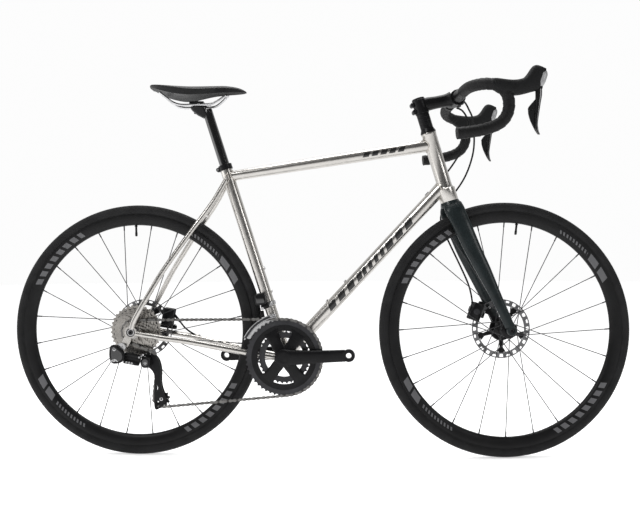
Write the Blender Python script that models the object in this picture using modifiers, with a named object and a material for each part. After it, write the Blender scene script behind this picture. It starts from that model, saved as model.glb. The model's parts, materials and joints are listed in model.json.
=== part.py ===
"""A road bicycle with disc brakes, an electric-shift groupset and a welded metal-tube frame.

Units are metres, +X is forward, +Y is to the rider's left and +Z is up. The origin is
on the floor, under the rear axle. The steering pieces are built pointing straight ahead
and are turned together at the end.
"""

import math

import bmesh
import bpy
from mathutils import Matrix, Quaternion, Vector

GAP = 0.0003  # clearance between neighbouring pieces

WHEEL_RADIUS = 0.3385
TYRE_HALF_WIDTH = 0.014
RIM_INNER_RADIUS = 0.2843
RIM_BED_RADIUS = 0.3110
WHEELBASE = 0.9883
REAR_AXLE = Vector((0, 0, WHEEL_RADIUS))
FRONT_AXLE = Vector((WHEELBASE, 0, WHEEL_RADIUS))
REAR_DROPOUT_Y = 0.0710
FRONT_DROPOUT_Y = 0.0500
SPOKES_PER_SIDE = 12

HEAD_ANGLE = math.radians(73.2)
STEER_UP = Vector((-math.cos(HEAD_ANGLE), 0, math.sin(HEAD_ANGLE)))
STEER_POINT = Vector((0.8135, 0, 0.7715))
STEER_TURN = math.radians(6.9)
HEAD_TUBE_LENGTH = 0.190

BB = Vector((0.401, 0, 0.2695))
BB_SHELL_RADIUS = 0.0230
BB_HALF_WIDTH = 0.0340
SPINDLE_RADIUS = 0.0120
SEAT_ANGLE = math.radians(72.5)
SEAT_UP = Vector((-math.cos(SEAT_ANGLE), 0, math.sin(SEAT_ANGLE)))
SEAT_TUBE_LENGTH = 0.5375
SEAT_TUBE_RADIUS = 0.0159
SEATPOST_RADIUS = 0.0136
TOP_TUBE_ENDS = (Vector((0.248, 0, 0.7523)), Vector((0.7958, 0, 0.8302)))
DOWN_TUBE_ENDS = (BB, Vector((0.828, 0, 0.725)))
DOWN_TUBE_RADIUS = 0.0175
BOSS_RADIUS = 0.0155

CRANK_LENGTH = 0.1715
SPIDER_ANGLES = (57, 118, 232, 306)
CRANK_TILT = math.radians(2.6)
PEDAL_FACE_Y = 0.0734
CHAIN_HEIGHT = 0.0080
CHAIN_WIDTH = 0.0052
CHAIN_PITCH = 0.0127
RING_Y = -0.0470
SMALL_RING_Y = -0.0395
COG_SIZES = (11, 12, 13, 14, 15, 17, 19, 21, 24, 27, 30, 34)
COG_IN_USE = 4
COG_PITCH_Y = 0.00358
FIRST_COG_Y = -0.0645
COG_Y = FIRST_COG_Y + COG_IN_USE * COG_PITCH_Y
GUIDE_PULLEY = Vector((0.041, COG_Y, 0.263))
TENSION_PULLEY = Vector((0.075, COG_Y, 0.160))
CAGE_PIVOT = Vector((0.036, -0.066, 0.256))
LINK_PIVOTS = (Vector((-0.022, -0.074, 0.275)), Vector((0.028, -0.074, 0.265)))

ROTOR_RADIUS = 0.0800
REAR_ROTOR_Y = 0.0545
FRONT_ROTOR_Y = 0.0395
LEVER_PIVOT_X = 1.0130
LEVER_PIVOT_Z = 0.9370
HOOD_Y = 0.2130
BAR_CENTRE = Vector((0.862, 0, 0.955))
HOSE_RADIUS = 0.0025

LOOKS = {
    "bare_metal": ((0.52, 0.50, 0.47), 0.30, 1.0),
    "silver": ((0.70, 0.70, 0.70), 0.30, 1.0),
    "dark_metal": ((0.10, 0.10, 0.105), 0.35, 0.8),
    "black_satin": ((0.018, 0.018, 0.020), 0.40, 0.2),
    "carbon": ((0.020, 0.026, 0.026), 0.42, 0.0),
    "rubber": ((0.020, 0.020, 0.020), 0.75, 0.0),
    "leather": ((0.022, 0.022, 0.023), 0.62, 0.0),
}


def clear_scene():
    for obj in list(bpy.data.objects):
        bpy.data.objects.remove(obj)
    for name in ("road_bicycle", "cutters"):
        bpy.context.scene.collection.children.link(bpy.data.collections.new(name))


def look(name):
    found = bpy.data.materials.get(name)
    if found:
        return found
    colour, roughness, metallic = LOOKS[name]
    made = bpy.data.materials.new(name)
    made.use_nodes = True
    shader = made.node_tree.nodes["Principled BSDF"]
    shader.inputs["Base Color"].default_value = (*colour, 1)
    shader.inputs["Roughness"].default_value = roughness
    shader.inputs["Metallic"].default_value = metallic
    return made


def add(name, mesh, material):
    """A new object in the bicycle's collection, with its material."""
    obj = bpy.data.objects.new(name, mesh)
    bpy.data.collections["road_bicycle"].objects.link(obj)
    mesh.materials.clear()
    mesh.materials.append(look(material))
    return obj


def from_bmesh(name, bm, material):
    bmesh.ops.recalc_face_normals(bm, faces=bm.faces)
    mesh = bpy.data.meshes.new(name)
    bm.to_mesh(mesh)
    bm.free()
    return add(name, mesh, material)


def from_curve(curve_object, material):
    """The curve as a mesh with its caps welded; the curve itself goes."""
    bpy.context.view_layer.update()
    graph = bpy.context.evaluated_depsgraph_get()
    mesh = bpy.data.meshes.new_from_object(curve_object.evaluated_get(graph))
    bm = bmesh.new()
    bm.from_mesh(mesh)
    bmesh.ops.remove_doubles(bm, verts=bm.verts, dist=1e-6)
    bm.to_mesh(mesh)
    bm.free()
    name = curve_object.name
    place = curve_object.matrix_world.copy()
    bpy.data.objects.remove(curve_object)
    obj = add(name, mesh, material)
    obj.matrix_world = place
    return obj


def toward(direction):
    """The rotation that turns +Z to this direction."""
    return Vector(direction).to_track_quat("Z", "Y")


def rod(name, start, end, radius, material, radius_end=None, sides=16):
    start, end = Vector(start), Vector(end)
    bm = bmesh.new()
    bmesh.ops.create_cone(
        bm, cap_ends=True, segments=sides, radius1=radius,
        radius2=radius if radius_end is None else radius_end, depth=(end - start).length,
    )
    obj = from_bmesh(name, bm, material)
    obj.rotation_mode = "QUATERNION"
    obj.rotation_quaternion = toward(end - start)
    obj.location = (start + end) / 2
    return obj


def block(name, size, place, material, turn=0.0, bevel=0.0):
    """A box at place, turned about Y, with its long edges rounded."""
    bm = bmesh.new()
    bmesh.ops.create_cube(bm, size=1.0)
    bmesh.ops.scale(bm, vec=size, verts=bm.verts)
    obj = from_bmesh(name, bm, material)
    obj.location = place
    obj.rotation_euler = (0, turn, 0)
    if bevel:
        rounding = obj.modifiers.new("rounding", "BEVEL")
        rounding.width = bevel
        rounding.segments = 2
    return obj


def tube(name, points, radii, material, sides=12, wall=0.0):
    """A tube along points. With a wall it is an open pipe, without one it is solid."""
    curve = bpy.data.curves.new(name, "CURVE")
    curve.dimensions = "3D"
    curve.bevel_depth = 1.0
    curve.bevel_resolution = (sides - 4) // 2
    curve.use_fill_caps = not wall
    spline = curve.splines.new("POLY")
    spline.points.add(len(points) - 1)
    if not hasattr(radii, "__len__"):
        radii = [radii] * len(points)
    for point, place, radius in zip(spline.points, points, radii):
        point.co = (*place, 1)
        point.radius = radius
    obj = bpy.data.objects.new(name, curve)
    bpy.data.collections["road_bicycle"].objects.link(obj)
    obj = from_curve(obj, material)
    if wall:
        shell = obj.modifiers.new("wall", "SOLIDIFY")
        shell.thickness = wall
        shell.offset = -1
    return obj


def plate(name, outlines, thickness, y, material):
    """A flat plate square to Y: its edge, then its holes, as outlines of (x, z) points."""
    curve = bpy.data.curves.new(name, "CURVE")
    curve.dimensions = "2D"
    curve.fill_mode = "BOTH"
    curve.extrude = thickness / 2
    for outline in outlines:
        spline = curve.splines.new("POLY")
        spline.points.add(len(outline) - 1)
        spline.use_cyclic_u = True
        for point, (x, z) in zip(spline.points, outline):
            point.co = (x, z, 0, 1)
    obj = bpy.data.objects.new(name, curve)
    bpy.data.collections["road_bicycle"].objects.link(obj)
    obj.rotation_euler = (math.pi / 2, 0, 0)
    obj.location = (0, y, 0)
    return from_curve(obj, material)


def turned(name, profile, place, direction, material, steps=24, closed=True):
    """A turned piece. The profile's points are (radius, height), running down its outer side."""
    mesh = bpy.data.meshes.new(name)
    count = len(profile)
    edges = [(i, i + 1) for i in range(count - 1)]
    if closed:
        edges.append((count - 1, 0))
    mesh.from_pydata([(r, 0, h) for r, h in profile], edges, [])
    obj = add(name, mesh, material)
    screw = obj.modifiers.new("turn", "SCREW")
    screw.steps = steps
    screw.render_steps = steps
    screw.use_merge_vertices = True
    screw.merge_threshold = 0.00001
    obj.rotation_mode = "QUATERNION"
    obj.rotation_quaternion = toward(direction)
    obj.location = place
    return obj


def ring(centre, along, across, half_along, half_across, count=10, power=1.0):
    """Points round an ellipse, or a squarer outline where power is under 1."""
    points = []
    for i in range(count):
        angle = 2 * math.pi * i / count
        c, s = math.cos(angle), math.sin(angle)
        c = math.copysign(abs(c) ** power, c)
        s = math.copysign(abs(s) ** power, s)
        points.append(Vector(centre) + Vector(along) * half_along * c + Vector(across) * half_across * s)
    return points


def loft(name, rings, material):
    """A closed body through rings of the same number of points."""
    bm = bmesh.new()
    rows = [[bm.verts.new(point) for point in points] for points in rings]
    count = len(rows[0])
    for low, high in zip(rows, rows[1:]):
        for i in range(count):
            j = (i + 1) % count
            bm.faces.new((low[i], low[j], high[j], high[i]))
    bm.faces.new(rows[0])
    bm.faces.new(rows[-1])
    return from_bmesh(name, bm, material)


def helper(obj):
    """Makes a piece a cutter, or a shape joined to another piece."""
    if obj.name not in bpy.data.collections["cutters"].objects:
        bpy.data.collections["road_bicycle"].objects.unlink(obj)
        bpy.data.collections["cutters"].objects.link(obj)
    obj.hide_render = True
    obj.display_type = "WIRE"
    return obj


def combine(obj, others, operation):
    for other in others:
        boolean = obj.modifiers.new(operation.lower(), "BOOLEAN")
        boolean.object = helper(other)
        boolean.operation = operation
        boolean.solver = "EXACT"
    return obj


def join(obj, *others):
    return combine(obj, others, "UNION")


def cut(obj, *others):
    return combine(obj, others, "DIFFERENCE")


def pivot(name, place, parent=None):
    """An empty on a joint's axis."""
    empty = bpy.data.objects.new(name, None)
    empty.empty_display_size = 0.02
    bpy.data.collections["road_bicycle"].objects.link(empty)
    empty.location = place
    if parent:
        attach(parent, empty)
    return empty


def attach(parent, *pieces):
    """Parents pieces, and the shapes that their Booleans use, where they stand."""
    bpy.context.view_layer.update()
    for piece in pieces:
        used = [m.object for m in piece.modifiers if m.type == "BOOLEAN"] if piece.type != "EMPTY" else []
        attach(parent, *[obj for obj in used if obj.parent is None])
        piece.parent = parent
        piece.matrix_parent_inverse = parent.matrix_world.inverted()


def arc(centre, radius, start, end, count):
    """Points (x, z) along an arc, angles in degrees."""
    points = []
    for i in range(count):
        angle = math.radians(start + (end - start) * i / (count - 1))
        points.append((centre[0] + radius * math.cos(angle), centre[1] + radius * math.sin(angle)))
    return points


def circle(centre, radius, count=16):
    return arc(centre, radius, 0, 360 - 360 / count, count)


def pitch_radius(teeth):
    return CHAIN_PITCH / (2 * math.sin(math.pi / teeth))


# ---------------------------------------------------------------- frame


def mitre(start, end, radius):
    """A cutter that shapes a tube's end to fit round its neighbour."""
    along = (Vector(end) - Vector(start)).normalized() * 0.06
    return rod("mitre_cutter", Vector(start) - along, Vector(end) + along, radius + GAP, "silver", sides=24)


def hose_tunnel(points):
    return tube("hose_tunnel_cutter", points, 0.0036, "silver", sides=8)


def stay_points(points, side):
    return [Vector((x, side * y, z)) for x, y, z in points]


def build_frame():
    head_bottom = STEER_POINT - STEER_UP * HEAD_TUBE_LENGTH / 2
    head = turned(
        "head_tube",
        [(0.0195, 0.190), (0.0195, 0.038), (0.0245, 0.034), (0.0245, 0.0), (0.0205, 0.0), (0.0175, 0.038),
         (0.0175, 0.190)],
        head_bottom, STEER_UP, "bare_metal", steps=24,
    )
    seat_top = BB + SEAT_UP * SEAT_TUBE_LENGTH
    seat = tube("seat_tube", [BB, seat_top], SEAT_TUBE_RADIUS, "bare_metal", 16, SEAT_TUBE_RADIUS - 0.0139)
    top = tube("top_tube", TOP_TUBE_ENDS, (0.0137, 0.0165), "bare_metal", 16, 0.001)
    down = tube("down_tube", DOWN_TUBE_ENDS, DOWN_TUBE_RADIUS, "bare_metal", 16, 0.001)
    shell = turned(
        "bottom_bracket_shell",
        [(BB_SHELL_RADIUS, BB_HALF_WIDTH), (BB_SHELL_RADIUS, -BB_HALF_WIDTH), (0.0203, -BB_HALF_WIDTH),
         (0.0203, BB_HALF_WIDTH)],
        BB, (0, 1, 0), "bare_metal", steps=24,
    )
    head_cutter = mitre(head_bottom, head_bottom + STEER_UP * HEAD_TUBE_LENGTH, 0.0195)
    cup_cutter = mitre(head_bottom + STEER_UP * 0.055, head_bottom - STEER_UP * 0.03, 0.0245)
    seat_cutter = mitre(BB, seat_top, SEAT_TUBE_RADIUS)
    shell_cutter = mitre(BB - Vector((0, 0.05, 0)), BB + Vector((0, 0.05, 0)), BB_SHELL_RADIUS)
    cut(seat, shell_cutter)
    cut(top, head_cutter, seat_cutter)
    cut(down, head_cutter, cup_cutter, seat_cutter, shell_cutter)

    tunnel = hose_tunnel(REAR_HOSE_POINTS)
    cut(down, tunnel)
    cut(shell, tunnel)
    for side, name in ((1, "left"), (-1, "right")):
        boss_centre = (REAR_AXLE.x, REAR_AXLE.z)
        boss_y = side * (REAR_DROPOUT_Y + GAP + 0.0034)
        chainstay = tube(
            f"{name}_chainstay", stay_points(CHAINSTAY_POINTS, side), CHAINSTAY_RADII, "bare_metal", 10,
            0.001
        )
        boss = plate(f"{name}_boss", [circle(boss_centre, BOSS_RADIUS, 24)], 0.0068, boss_y, "bare_metal")
        join(chainstay, boss)
        if side < 0:
            hanger = plate(
                "hanger_tab", [[(0.004, 0.3250), (-0.014, 0.3330), (-0.027, 0.3090), (-0.022, 0.2970),
                                (-0.008, 0.2990)]],
                0.0060, boss_y, "bare_metal",
            )
            join(chainstay, hanger)
        axle_cutter = rod("axle_hole_cutter", REAR_AXLE + Vector((0, side * 0.06, 0)),
                          REAR_AXLE + Vector((0, side * 0.09, 0)), 0.0063, "silver", sides=20)
        cut(chainstay, shell_cutter, axle_cutter)
        if side > 0:
            cut(chainstay, tunnel)
        seatstay = tube(
            f"{name}_seatstay", stay_points(SEATSTAY_POINTS, side), 0.0070, "bare_metal", 10, 0.001
        )
        boss_cutter = mitre(REAR_AXLE + Vector((0, side * 0.0700, 0)),
                            REAR_AXLE + Vector((0, side * 0.0800, 0)),
                            BOSS_RADIUS)
        if side > 0:
            bridge = rod("bridge", BRIDGE_CENTRE + Vector((0, 0.027, 0)),
                         BRIDGE_CENTRE - Vector((0, 0.0215, 0)),
                         0.0045, "bare_metal", sides=10)
            join(seatstay, bridge)
        cut(seatstay, seat_cutter, boss_cutter)
    collar = turned(
        "seat_collar",
        [(0.0185, 0.0010), (0.0185, -0.0130), (0.0162, -0.0130), (0.0162, -0.0010 + 0.0015),
         (0.0142, 0.0010)],
        seat_top + SEAT_UP * 0.0005, SEAT_UP, "black_satin", steps=24,
    )
    ear = block("collar_ear", (0.012, 0.016, 0.0115), seat_top + Vector((-0.0215, 0, -0.0130)),
                "black_satin",
                math.radians(-17.5), 0.001)
    bolt = rod("collar_bolt", seat_top + Vector((-0.0230, -0.010, -0.0130)),
               seat_top + Vector((-0.0230, 0.010, -0.0130)),
               0.0032, "silver", sides=10)
    join(collar, ear, bolt)
    # the ear stops at the tube's wall
    cut(collar, rod("collar_bore", seat_top - SEAT_UP * 0.05, seat_top - SEAT_UP * 0.0004, 0.0162,
                    "silver", sides=24))


CHAINSTAY_POINTS = (
    (0.0125, 0.0747, 0.3350), (0.0500, 0.0730, 0.3285), (0.0840, 0.0690, 0.3220), (0.1300, 0.0620, 0.3155),
    (0.1700, 0.0555, 0.3080), (0.2350, 0.0440, 0.2940), (0.2900, 0.0345, 0.2825), (0.3310, 0.0285, 0.2740),
    (0.3900, 0.0240, 0.2640),
)
CHAINSTAY_RADII = (0.0060, 0.0068, 0.0072, 0.0075, 0.0078, 0.0080, 0.0082, 0.0082, 0.0082)
SEATSTAY_POINTS = (
    (0.0010, 0.0752, 0.3480), (0.0080, 0.0752, 0.3680), (0.0235, 0.0745, 0.3970), (0.0480, 0.0700, 0.4400),
    (0.0780, 0.0600, 0.4920), (0.1200, 0.0470, 0.5550), (0.1600, 0.0360, 0.6120), (0.1880, 0.0290, 0.6500),
    (0.2155, 0.0230, 0.6900), (0.2440, 0.0170, 0.7400),
)
BRIDGE_CENTRE = Vector((0.1865, 0, 0.6480))
REAR_HOSE_POINTS = (
    (0.868, 0.064, 0.9400), (0.884, 0.062, 0.931), (0.897, 0.059, 0.908), (0.901, 0.056, 0.880),
    (0.893, 0.052, 0.850),
    (0.879, 0.047, 0.820), (0.860, 0.042, 0.790), (0.842, 0.038, 0.765), (0.824, 0.034, 0.744),
    (0.804, 0.028, 0.722), (0.785, 0.020, 0.700), (0.765, 0.011, 0.674), (0.740, 0.006, 0.640),
    (0.700, 0.004, 0.589), (0.600, 0.004, 0.482), (0.500, 0.006, 0.3755), (0.440, 0.010, 0.3115),
    (0.4135, 0.014, 0.2840), (0.4030, 0.0175, 0.2875), (0.3900, 0.021, 0.2845), (0.3800, 0.0235, 0.2760),
    (0.3700, 0.0255, 0.2675), (0.3310, 0.0285, 0.2740), (0.2900, 0.0345, 0.2825), (0.2350, 0.0440, 0.2940),
    (0.1850, 0.0530, 0.3050), (0.1600, 0.0565, 0.3120), (0.1350, 0.0580, 0.3235), (0.1150, 0.0575, 0.3380),
    (0.1010, 0.0560, 0.3560),
)


# ---------------------------------------------------------------- saddle and post


def build_seat():
    seat_top = BB + SEAT_UP * SEAT_TUBE_LENGTH
    post_bottom = seat_top - SEAT_UP * 0.120
    post_head = seat_top + SEAT_UP * 0.160
    rail_z = 0.9430
    clamp_x = 0.168
    post = tube("seatpost", [post_bottom, post_head], SEATPOST_RADIUS, "black_satin", 16, 0.0020)
    neck = loft(
        "post_neck",
        [ring(seat_top + SEAT_UP * 0.135, (1, 0, 0.315), (0, 1, 0), 0.0135, 0.0135),
         ring((0.183, 0, 0.9240), (1, 0, 0.1), (0, 1, 0), 0.0170, 0.0160),
         ring((clamp_x, 0, rail_z - 0.0042), (1, 0, 0.0), (0, 1, 0), 0.0200, 0.0265, power=0.6)],
        "black_satin",
    )
    join(post, neck)
    bolt_hole = rod("clamp_bolt_hole", (clamp_x, 0, 0.915), (clamp_x, 0, 0.960), 0.0034, "silver", sides=12)
    cut(post, bolt_hole)
    clamp = block("saddle_clamp", (0.038, 0.054, 0.0050), (clamp_x, 0, rail_z + 0.0070), "black_satin", 0,
                  0.0015)
    clamp_bolt = rod("clamp_bolt", (clamp_x, 0, 0.9255), (clamp_x, 0, rail_z + 0.0072), 0.0029, "silver",
                     sides=10)
    join(clamp, clamp_bolt)

    half = [(0.0720, 0.0430, 0.9740), (0.0860, 0.0370, 0.9630), (0.1050, 0.0270, 0.9490),
            (0.1280, 0.0220, rail_z),
            (0.2060, 0.0220, rail_z + 0.0010), (0.2250, 0.0190, 0.9530), (0.2420, 0.0130, 0.9660),
            (0.2480, 0.0050, 0.9690)]
    wire = half + [(x, -y, z) for x, y, z in reversed(half)]
    rails = tube("saddle_rails", wire, 0.0035, "silver", sides=8)

    # x, half width, top, side drop, thickness
    sections = (
        (0.043, 0.020, 0.9935, 0.004, 0.008), (0.050, 0.044, 0.9945, 0.010, 0.013),
        (0.066, 0.062, 0.9955, 0.016, 0.016),
        (0.090, 0.070, 0.9955, 0.022, 0.016), (0.120, 0.069, 0.9940, 0.026, 0.015),
        (0.150, 0.056, 0.9940, 0.023, 0.014),
        (0.180, 0.040, 0.9948, 0.018, 0.014), (0.210, 0.029, 0.9955, 0.014, 0.015),
        (0.240, 0.0235, 0.9955, 0.012, 0.016),
        (0.268, 0.0205, 0.9925, 0.011, 0.015), (0.288, 0.0165, 0.9870, 0.008, 0.013),
        (0.299, 0.0090, 0.9800, 0.003, 0.008),
    )
    rings = []
    for x, half_width, top, drop, thick in sections:
        upper = []
        for i in range(7):
            t = -1 + i / 3
            upper.append(Vector((x, half_width * t, top - drop * abs(t) ** 2.4)))
        lower = []
        for i in range(7):
            t = 1 - i / 3
            lower.append(Vector((x, half_width * 0.93 * t, top - thick - (drop - 0.001) * abs(t) ** 1.8)))
        rings.append(upper + lower)
    saddle = loft("saddle", rings, "leather")
    cut(saddle, tube("rail_sockets", wire, 0.0035 + 2 * GAP, "silver", sides=8))


# ---------------------------------------------------------------- wheels


def spoke_set(name, axle, flange_y, flange_radius, first_angle, material, parent):
    """One side's crossed spokes, as one body: six lean forward and six lean back."""
    hub_radius = flange_radius + 0.0018
    lean = math.radians(62)
    rim_y = math.copysign(0.0030, flange_y)
    rim_radius = RIM_INNER_RADIUS - 0.0006
    sets = []
    for turn in (1, -1):
        bm = bmesh.new()
        for i in range(SPOKES_PER_SIDE // 2):
            rim_angle = first_angle + math.radians(60 * i + (0 if turn > 0 else 30))
            hub_angle = rim_angle + turn * lean
            hub = Vector((hub_radius * math.cos(hub_angle), flange_y, hub_radius * math.sin(hub_angle)))
            rim = Vector((rim_radius * math.cos(rim_angle), rim_y, rim_radius * math.sin(rim_angle)))
            made = bmesh.ops.create_cone(
                bm, cap_ends=True, segments=3, radius1=0.0014, radius2=0.0014, depth=(rim - hub).length
            )
            place = Matrix.Translation((rim + hub) / 2) @ toward(rim - hub).to_matrix().to_4x4()
            bmesh.ops.transform(bm, matrix=place, verts=made["verts"])
        obj = from_bmesh(name if turn > 0 else f"{name}_crossing", bm, material)
        obj.location = axle
        sets.append(obj)
    join(*sets)
    attach(parent, sets[0])
    return sets[0]


def build_wheel(name, axle, parent, spoke_angle, left_flange, right_flange, hub_profile, rotor_y):
    steps = 36
    tyre = turned(
        f"{name}_tyre",
        [(0.3102, 0.0100), (0.3130, 0.0112), (0.3155, 0.0130), (0.3250, TYRE_HALF_WIDTH), (0.3348, 0.0092),
         (WHEEL_RADIUS, 0.0), (0.3348, -0.0092), (0.3250, -TYRE_HALF_WIDTH), (0.3155, -0.0130),
         (0.3130, -0.0112),
         (0.3102, -0.0100), (0.3112, -0.0084), (0.3300, -0.0076), (0.3300, 0.0076), (0.3112, 0.0084)],
        axle, (0, 1, 0), "rubber", steps,
    )
    rim = turned(
        f"{name}_rim",
        [(0.3130, 0.0118), (0.3000, 0.0074), (0.3000, -0.0074), (0.3130, -0.0118), (0.3130, -0.0128),
         (0.2960, -0.0110), (0.2860, -0.0058), (RIM_INNER_RADIUS, 0.0), (0.2860, 0.0058), (0.2960, 0.0110),
         (0.3130, 0.0128)],
        axle, (0, 1, 0), "black_satin", steps,
    )
    hub = turned(f"{name}_hub", hub_profile, axle, (0, 1, 0), "black_satin", 16)
    rotor = rotor_disc(f"{name}_rotor", axle, rotor_y)
    attach(parent, tyre, rim, hub, rotor)
    spoke_set(f"{name}_left_spokes", axle, left_flange[0], left_flange[1], spoke_angle, "dark_metal",
              parent)
    spoke_set(f"{name}_right_spokes", axle, right_flange[0], right_flange[1],
              spoke_angle + math.radians(15),
              "dark_metal", parent)


def rotor_disc(name, axle, y):
    """A brake disc: a braking ring and a carrier, with five windows between its arms."""
    centre = (axle.x, axle.z)
    holes = [circle(centre, 0.0172, 16)]
    for i in range(5):
        middle = 72 * i + 18
        outer = arc(centre, 0.0640, middle - 27, middle + 27, 5)
        inner = arc(centre, 0.0290, middle + 19, middle - 19, 3)
        holes.append(outer + inner)
    return plate(name, [circle(centre, ROTOR_RADIUS, 32)] + holes, 0.0018, y, "silver")


def build_wheels(steering):
    rear = pivot("rear_wheel_axis", REAR_AXLE)
    front = pivot("front_wheel_axis", FRONT_AXLE, steering)
    rear_hub = [(0.0165, 0.0530), (0.0165, 0.0370), (0.0225, 0.0360), (0.0225, 0.0310), (0.0150, 0.0260),
                (0.0150, -0.0120), (0.0235, -0.0165), (0.0235, -0.0205), (0.0150, -0.0225),
                (0.0092, -0.0225),
                (0.0092, 0.0560), (0.0130, 0.0560), (0.0130, 0.0530)]
    front_hub = [(0.0165, 0.0385), (0.0165, 0.0270), (0.0215, 0.0250), (0.0215, 0.0205), (0.0120, 0.0160),
                 (0.0120, -0.0300), (0.0200, -0.0330), (0.0200, -0.0370), (0.0125, -0.0400),
                 (0.0092, -0.0400),
                 (0.0092, 0.0415), (0.0130, 0.0415), (0.0130, 0.0385)]
    build_wheel("rear", REAR_AXLE, rear, math.radians(82.5), (0.0335, 0.0225), (-0.0185, 0.0235), rear_hub,
                REAR_ROTOR_Y)
    build_wheel("front", FRONT_AXLE, front, math.radians(89.8), (0.0228, 0.0215), (-0.0350, 0.0200),
                front_hub,
                FRONT_ROTOR_Y)
    for name, axle, face, parent in (("rear", REAR_AXLE, REAR_DROPOUT_Y, None),
                                     ("front", FRONT_AXLE, FRONT_DROPOUT_Y, steering)):
        spindle = turned(
            f"{name}_axle",
            [(0.0060, face + 0.0100), (0.0060, face), (0.0088, face), (0.0088, -face), (0.0060, -face),
             (0.0060, -face - 0.0110), (0.0030, -face - 0.0110), (0.0030, face + 0.0100)],
            axle, (0, 1, 0), "dark_metal", 16,
        )
        if parent:
            attach(parent, spindle)


# ---------------------------------------------------------------- crankset, cassette and chain


def build_crankset():
    axis = pivot("crank_axis", BB)
    forward = Vector((math.cos(CRANK_TILT), 0, math.sin(CRANK_TILT)))
    up = Vector((-math.sin(CRANK_TILT), 0, math.cos(CRANK_TILT)))
    arms = {}
    for name, side in (("right", -1), ("left", 1)):
        direction = forward * -side
        rings = []
        for reach, y, half_height, half_thick in (
            (-0.0200, 0.0560, 0.0110, 0.0090), (-0.0120, 0.0560, 0.0205, 0.0110),
            (0.0, 0.0565, 0.0235, 0.0115),
            (0.0300, 0.0590, 0.0205, 0.0105), (0.0800, 0.0633, 0.0180, 0.0082),
            (0.1500, 0.0662, 0.0165, 0.0066),
            (CRANK_LENGTH + 0.0060, 0.0665, 0.0140, 0.0060),
        ):
            rings.append(ring(BB + direction * reach + Vector((0, side * y, 0)), up, (0, side, 0),
                              half_height,
                              half_thick, 12, 0.55))
        arm = loft(f"{name}_crank_arm", rings, "black_satin")
        eye = BB + direction * CRANK_LENGTH
        pedal_hole = rod(
            "pedal_hole_cutter", eye + Vector((0, side * 0.05, 0)), eye + Vector((0, side * 0.08, 0)),
            0.0071, "silver"
        )
        join(arm, rod("pedal_eye", eye + Vector((0, side * 0.0598, 0)),
                      eye + Vector((0, side * PEDAL_FACE_Y, 0)),
                      0.0165, "black_satin", sides=24))
        arms[name] = arm
        if name == "right":
            join(arm, rod("spindle", BB + Vector((0, -0.060, 0)), BB + Vector((0, 0.0440, 0)),
                          SPINDLE_RADIUS,
                          "silver", sides=20))
            for angle in SPIDER_ANGLES:
                spider = Vector((math.cos(math.radians(angle)), 0, math.sin(math.radians(angle))))
                half_wide = Vector((-spider.z, 0, spider.x))
                leg = loft(
                    "spider_leg",
                    [ring(BB + spider * reach + Vector((0, y, 0)), half_wide, (0, 1, 0), wide, thick, 8,
                          0.5)
                     for reach, y, wide, thick in ((0.006, -0.0480, 0.0140, 0.0040),
                                                   (0.030, -0.0455, 0.0100, 0.0024),
                                                   (0.046, -0.0434, 0.0090, 0.0018),
                                                   (0.060, -0.0433, 0.0085, 0.0017))],
                    "black_satin",
                )
                join(arm, leg)
        cut(arm, pedal_hole)
        if name == "left":
            # the left arm clamps the spindle's end
            cut(arm, rod("spindle_socket", BB, BB + Vector((0, 0.0445, 0)), SPINDLE_RADIUS + 0.0006,
                         "silver"))
    centre = (BB.x, BB.z)
    large = plate(
        "large_chainring",
        [circle(centre, pitch_radius(50) - CHAIN_HEIGHT / 2 - GAP, 50), circle(centre, 0.0490, 32)],
        0.0032, RING_Y - 0.0002, "dark_metal",
    )
    small = plate(
        "small_chainring", [circle(centre, pitch_radius(34) + 0.0015, 34), circle(centre, 0.0490, 32)],
        0.0030, SMALL_RING_Y, "dark_metal",
    )
    attach(axis, arms["right"], arms["left"], large, small)

    cups = turned(
        "bottom_bracket_unit",
        [(0.0222, 0.0415), (0.0222, BB_HALF_WIDTH + GAP), (0.0198, BB_HALF_WIDTH + GAP), (0.0198, 0.0280),
         (0.0142, 0.0260), (0.0142, -0.0260), (0.0198, -0.0280), (0.0198, -BB_HALF_WIDTH - GAP),
         (0.0222, -BB_HALF_WIDTH - GAP), (0.0222, -0.0415), (0.0124, -0.0415), (0.0124, 0.0415)],
        BB, (0, 1, 0), "black_satin", 24,
    )
    return cups


def build_cassette():
    axis = pivot("cassette_axis", REAR_AXLE)
    tooth_top = 0.0015
    under_chain = pitch_radius(COG_SIZES[COG_IN_USE]) - CHAIN_HEIGHT / 2 - 3 * GAP
    profile = []
    for index in reversed(range(len(COG_SIZES))):
        radius = pitch_radius(COG_SIZES[index]) + tooth_top
        reach = 0.0009 if index == len(COG_SIZES) - 1 else COG_PITCH_Y - 0.0006
        inboard = FIRST_COG_Y + index * COG_PITCH_Y + reach
        outboard = FIRST_COG_Y + index * COG_PITCH_Y - 0.0006
        if index == COG_IN_USE:
            radius = under_chain
        if index == COG_IN_USE - 1:
            inboard = COG_Y - CHAIN_WIDTH / 2 - GAP
            profile.append((under_chain, inboard))
        profile += [(radius, inboard), (radius, outboard)]
    profile += [(0.0155, FIRST_COG_Y - 0.0032), (0.0092, FIRST_COG_Y - 0.0032)]
    profile += [(0.0092, -0.0229), (0.0170, -0.0229), (0.0170, profile[0][1])]
    cassette = turned("cassette", profile, REAR_AXLE, (0, 1, 0), "silver", 20)
    attach(axis, cassette)


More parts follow.
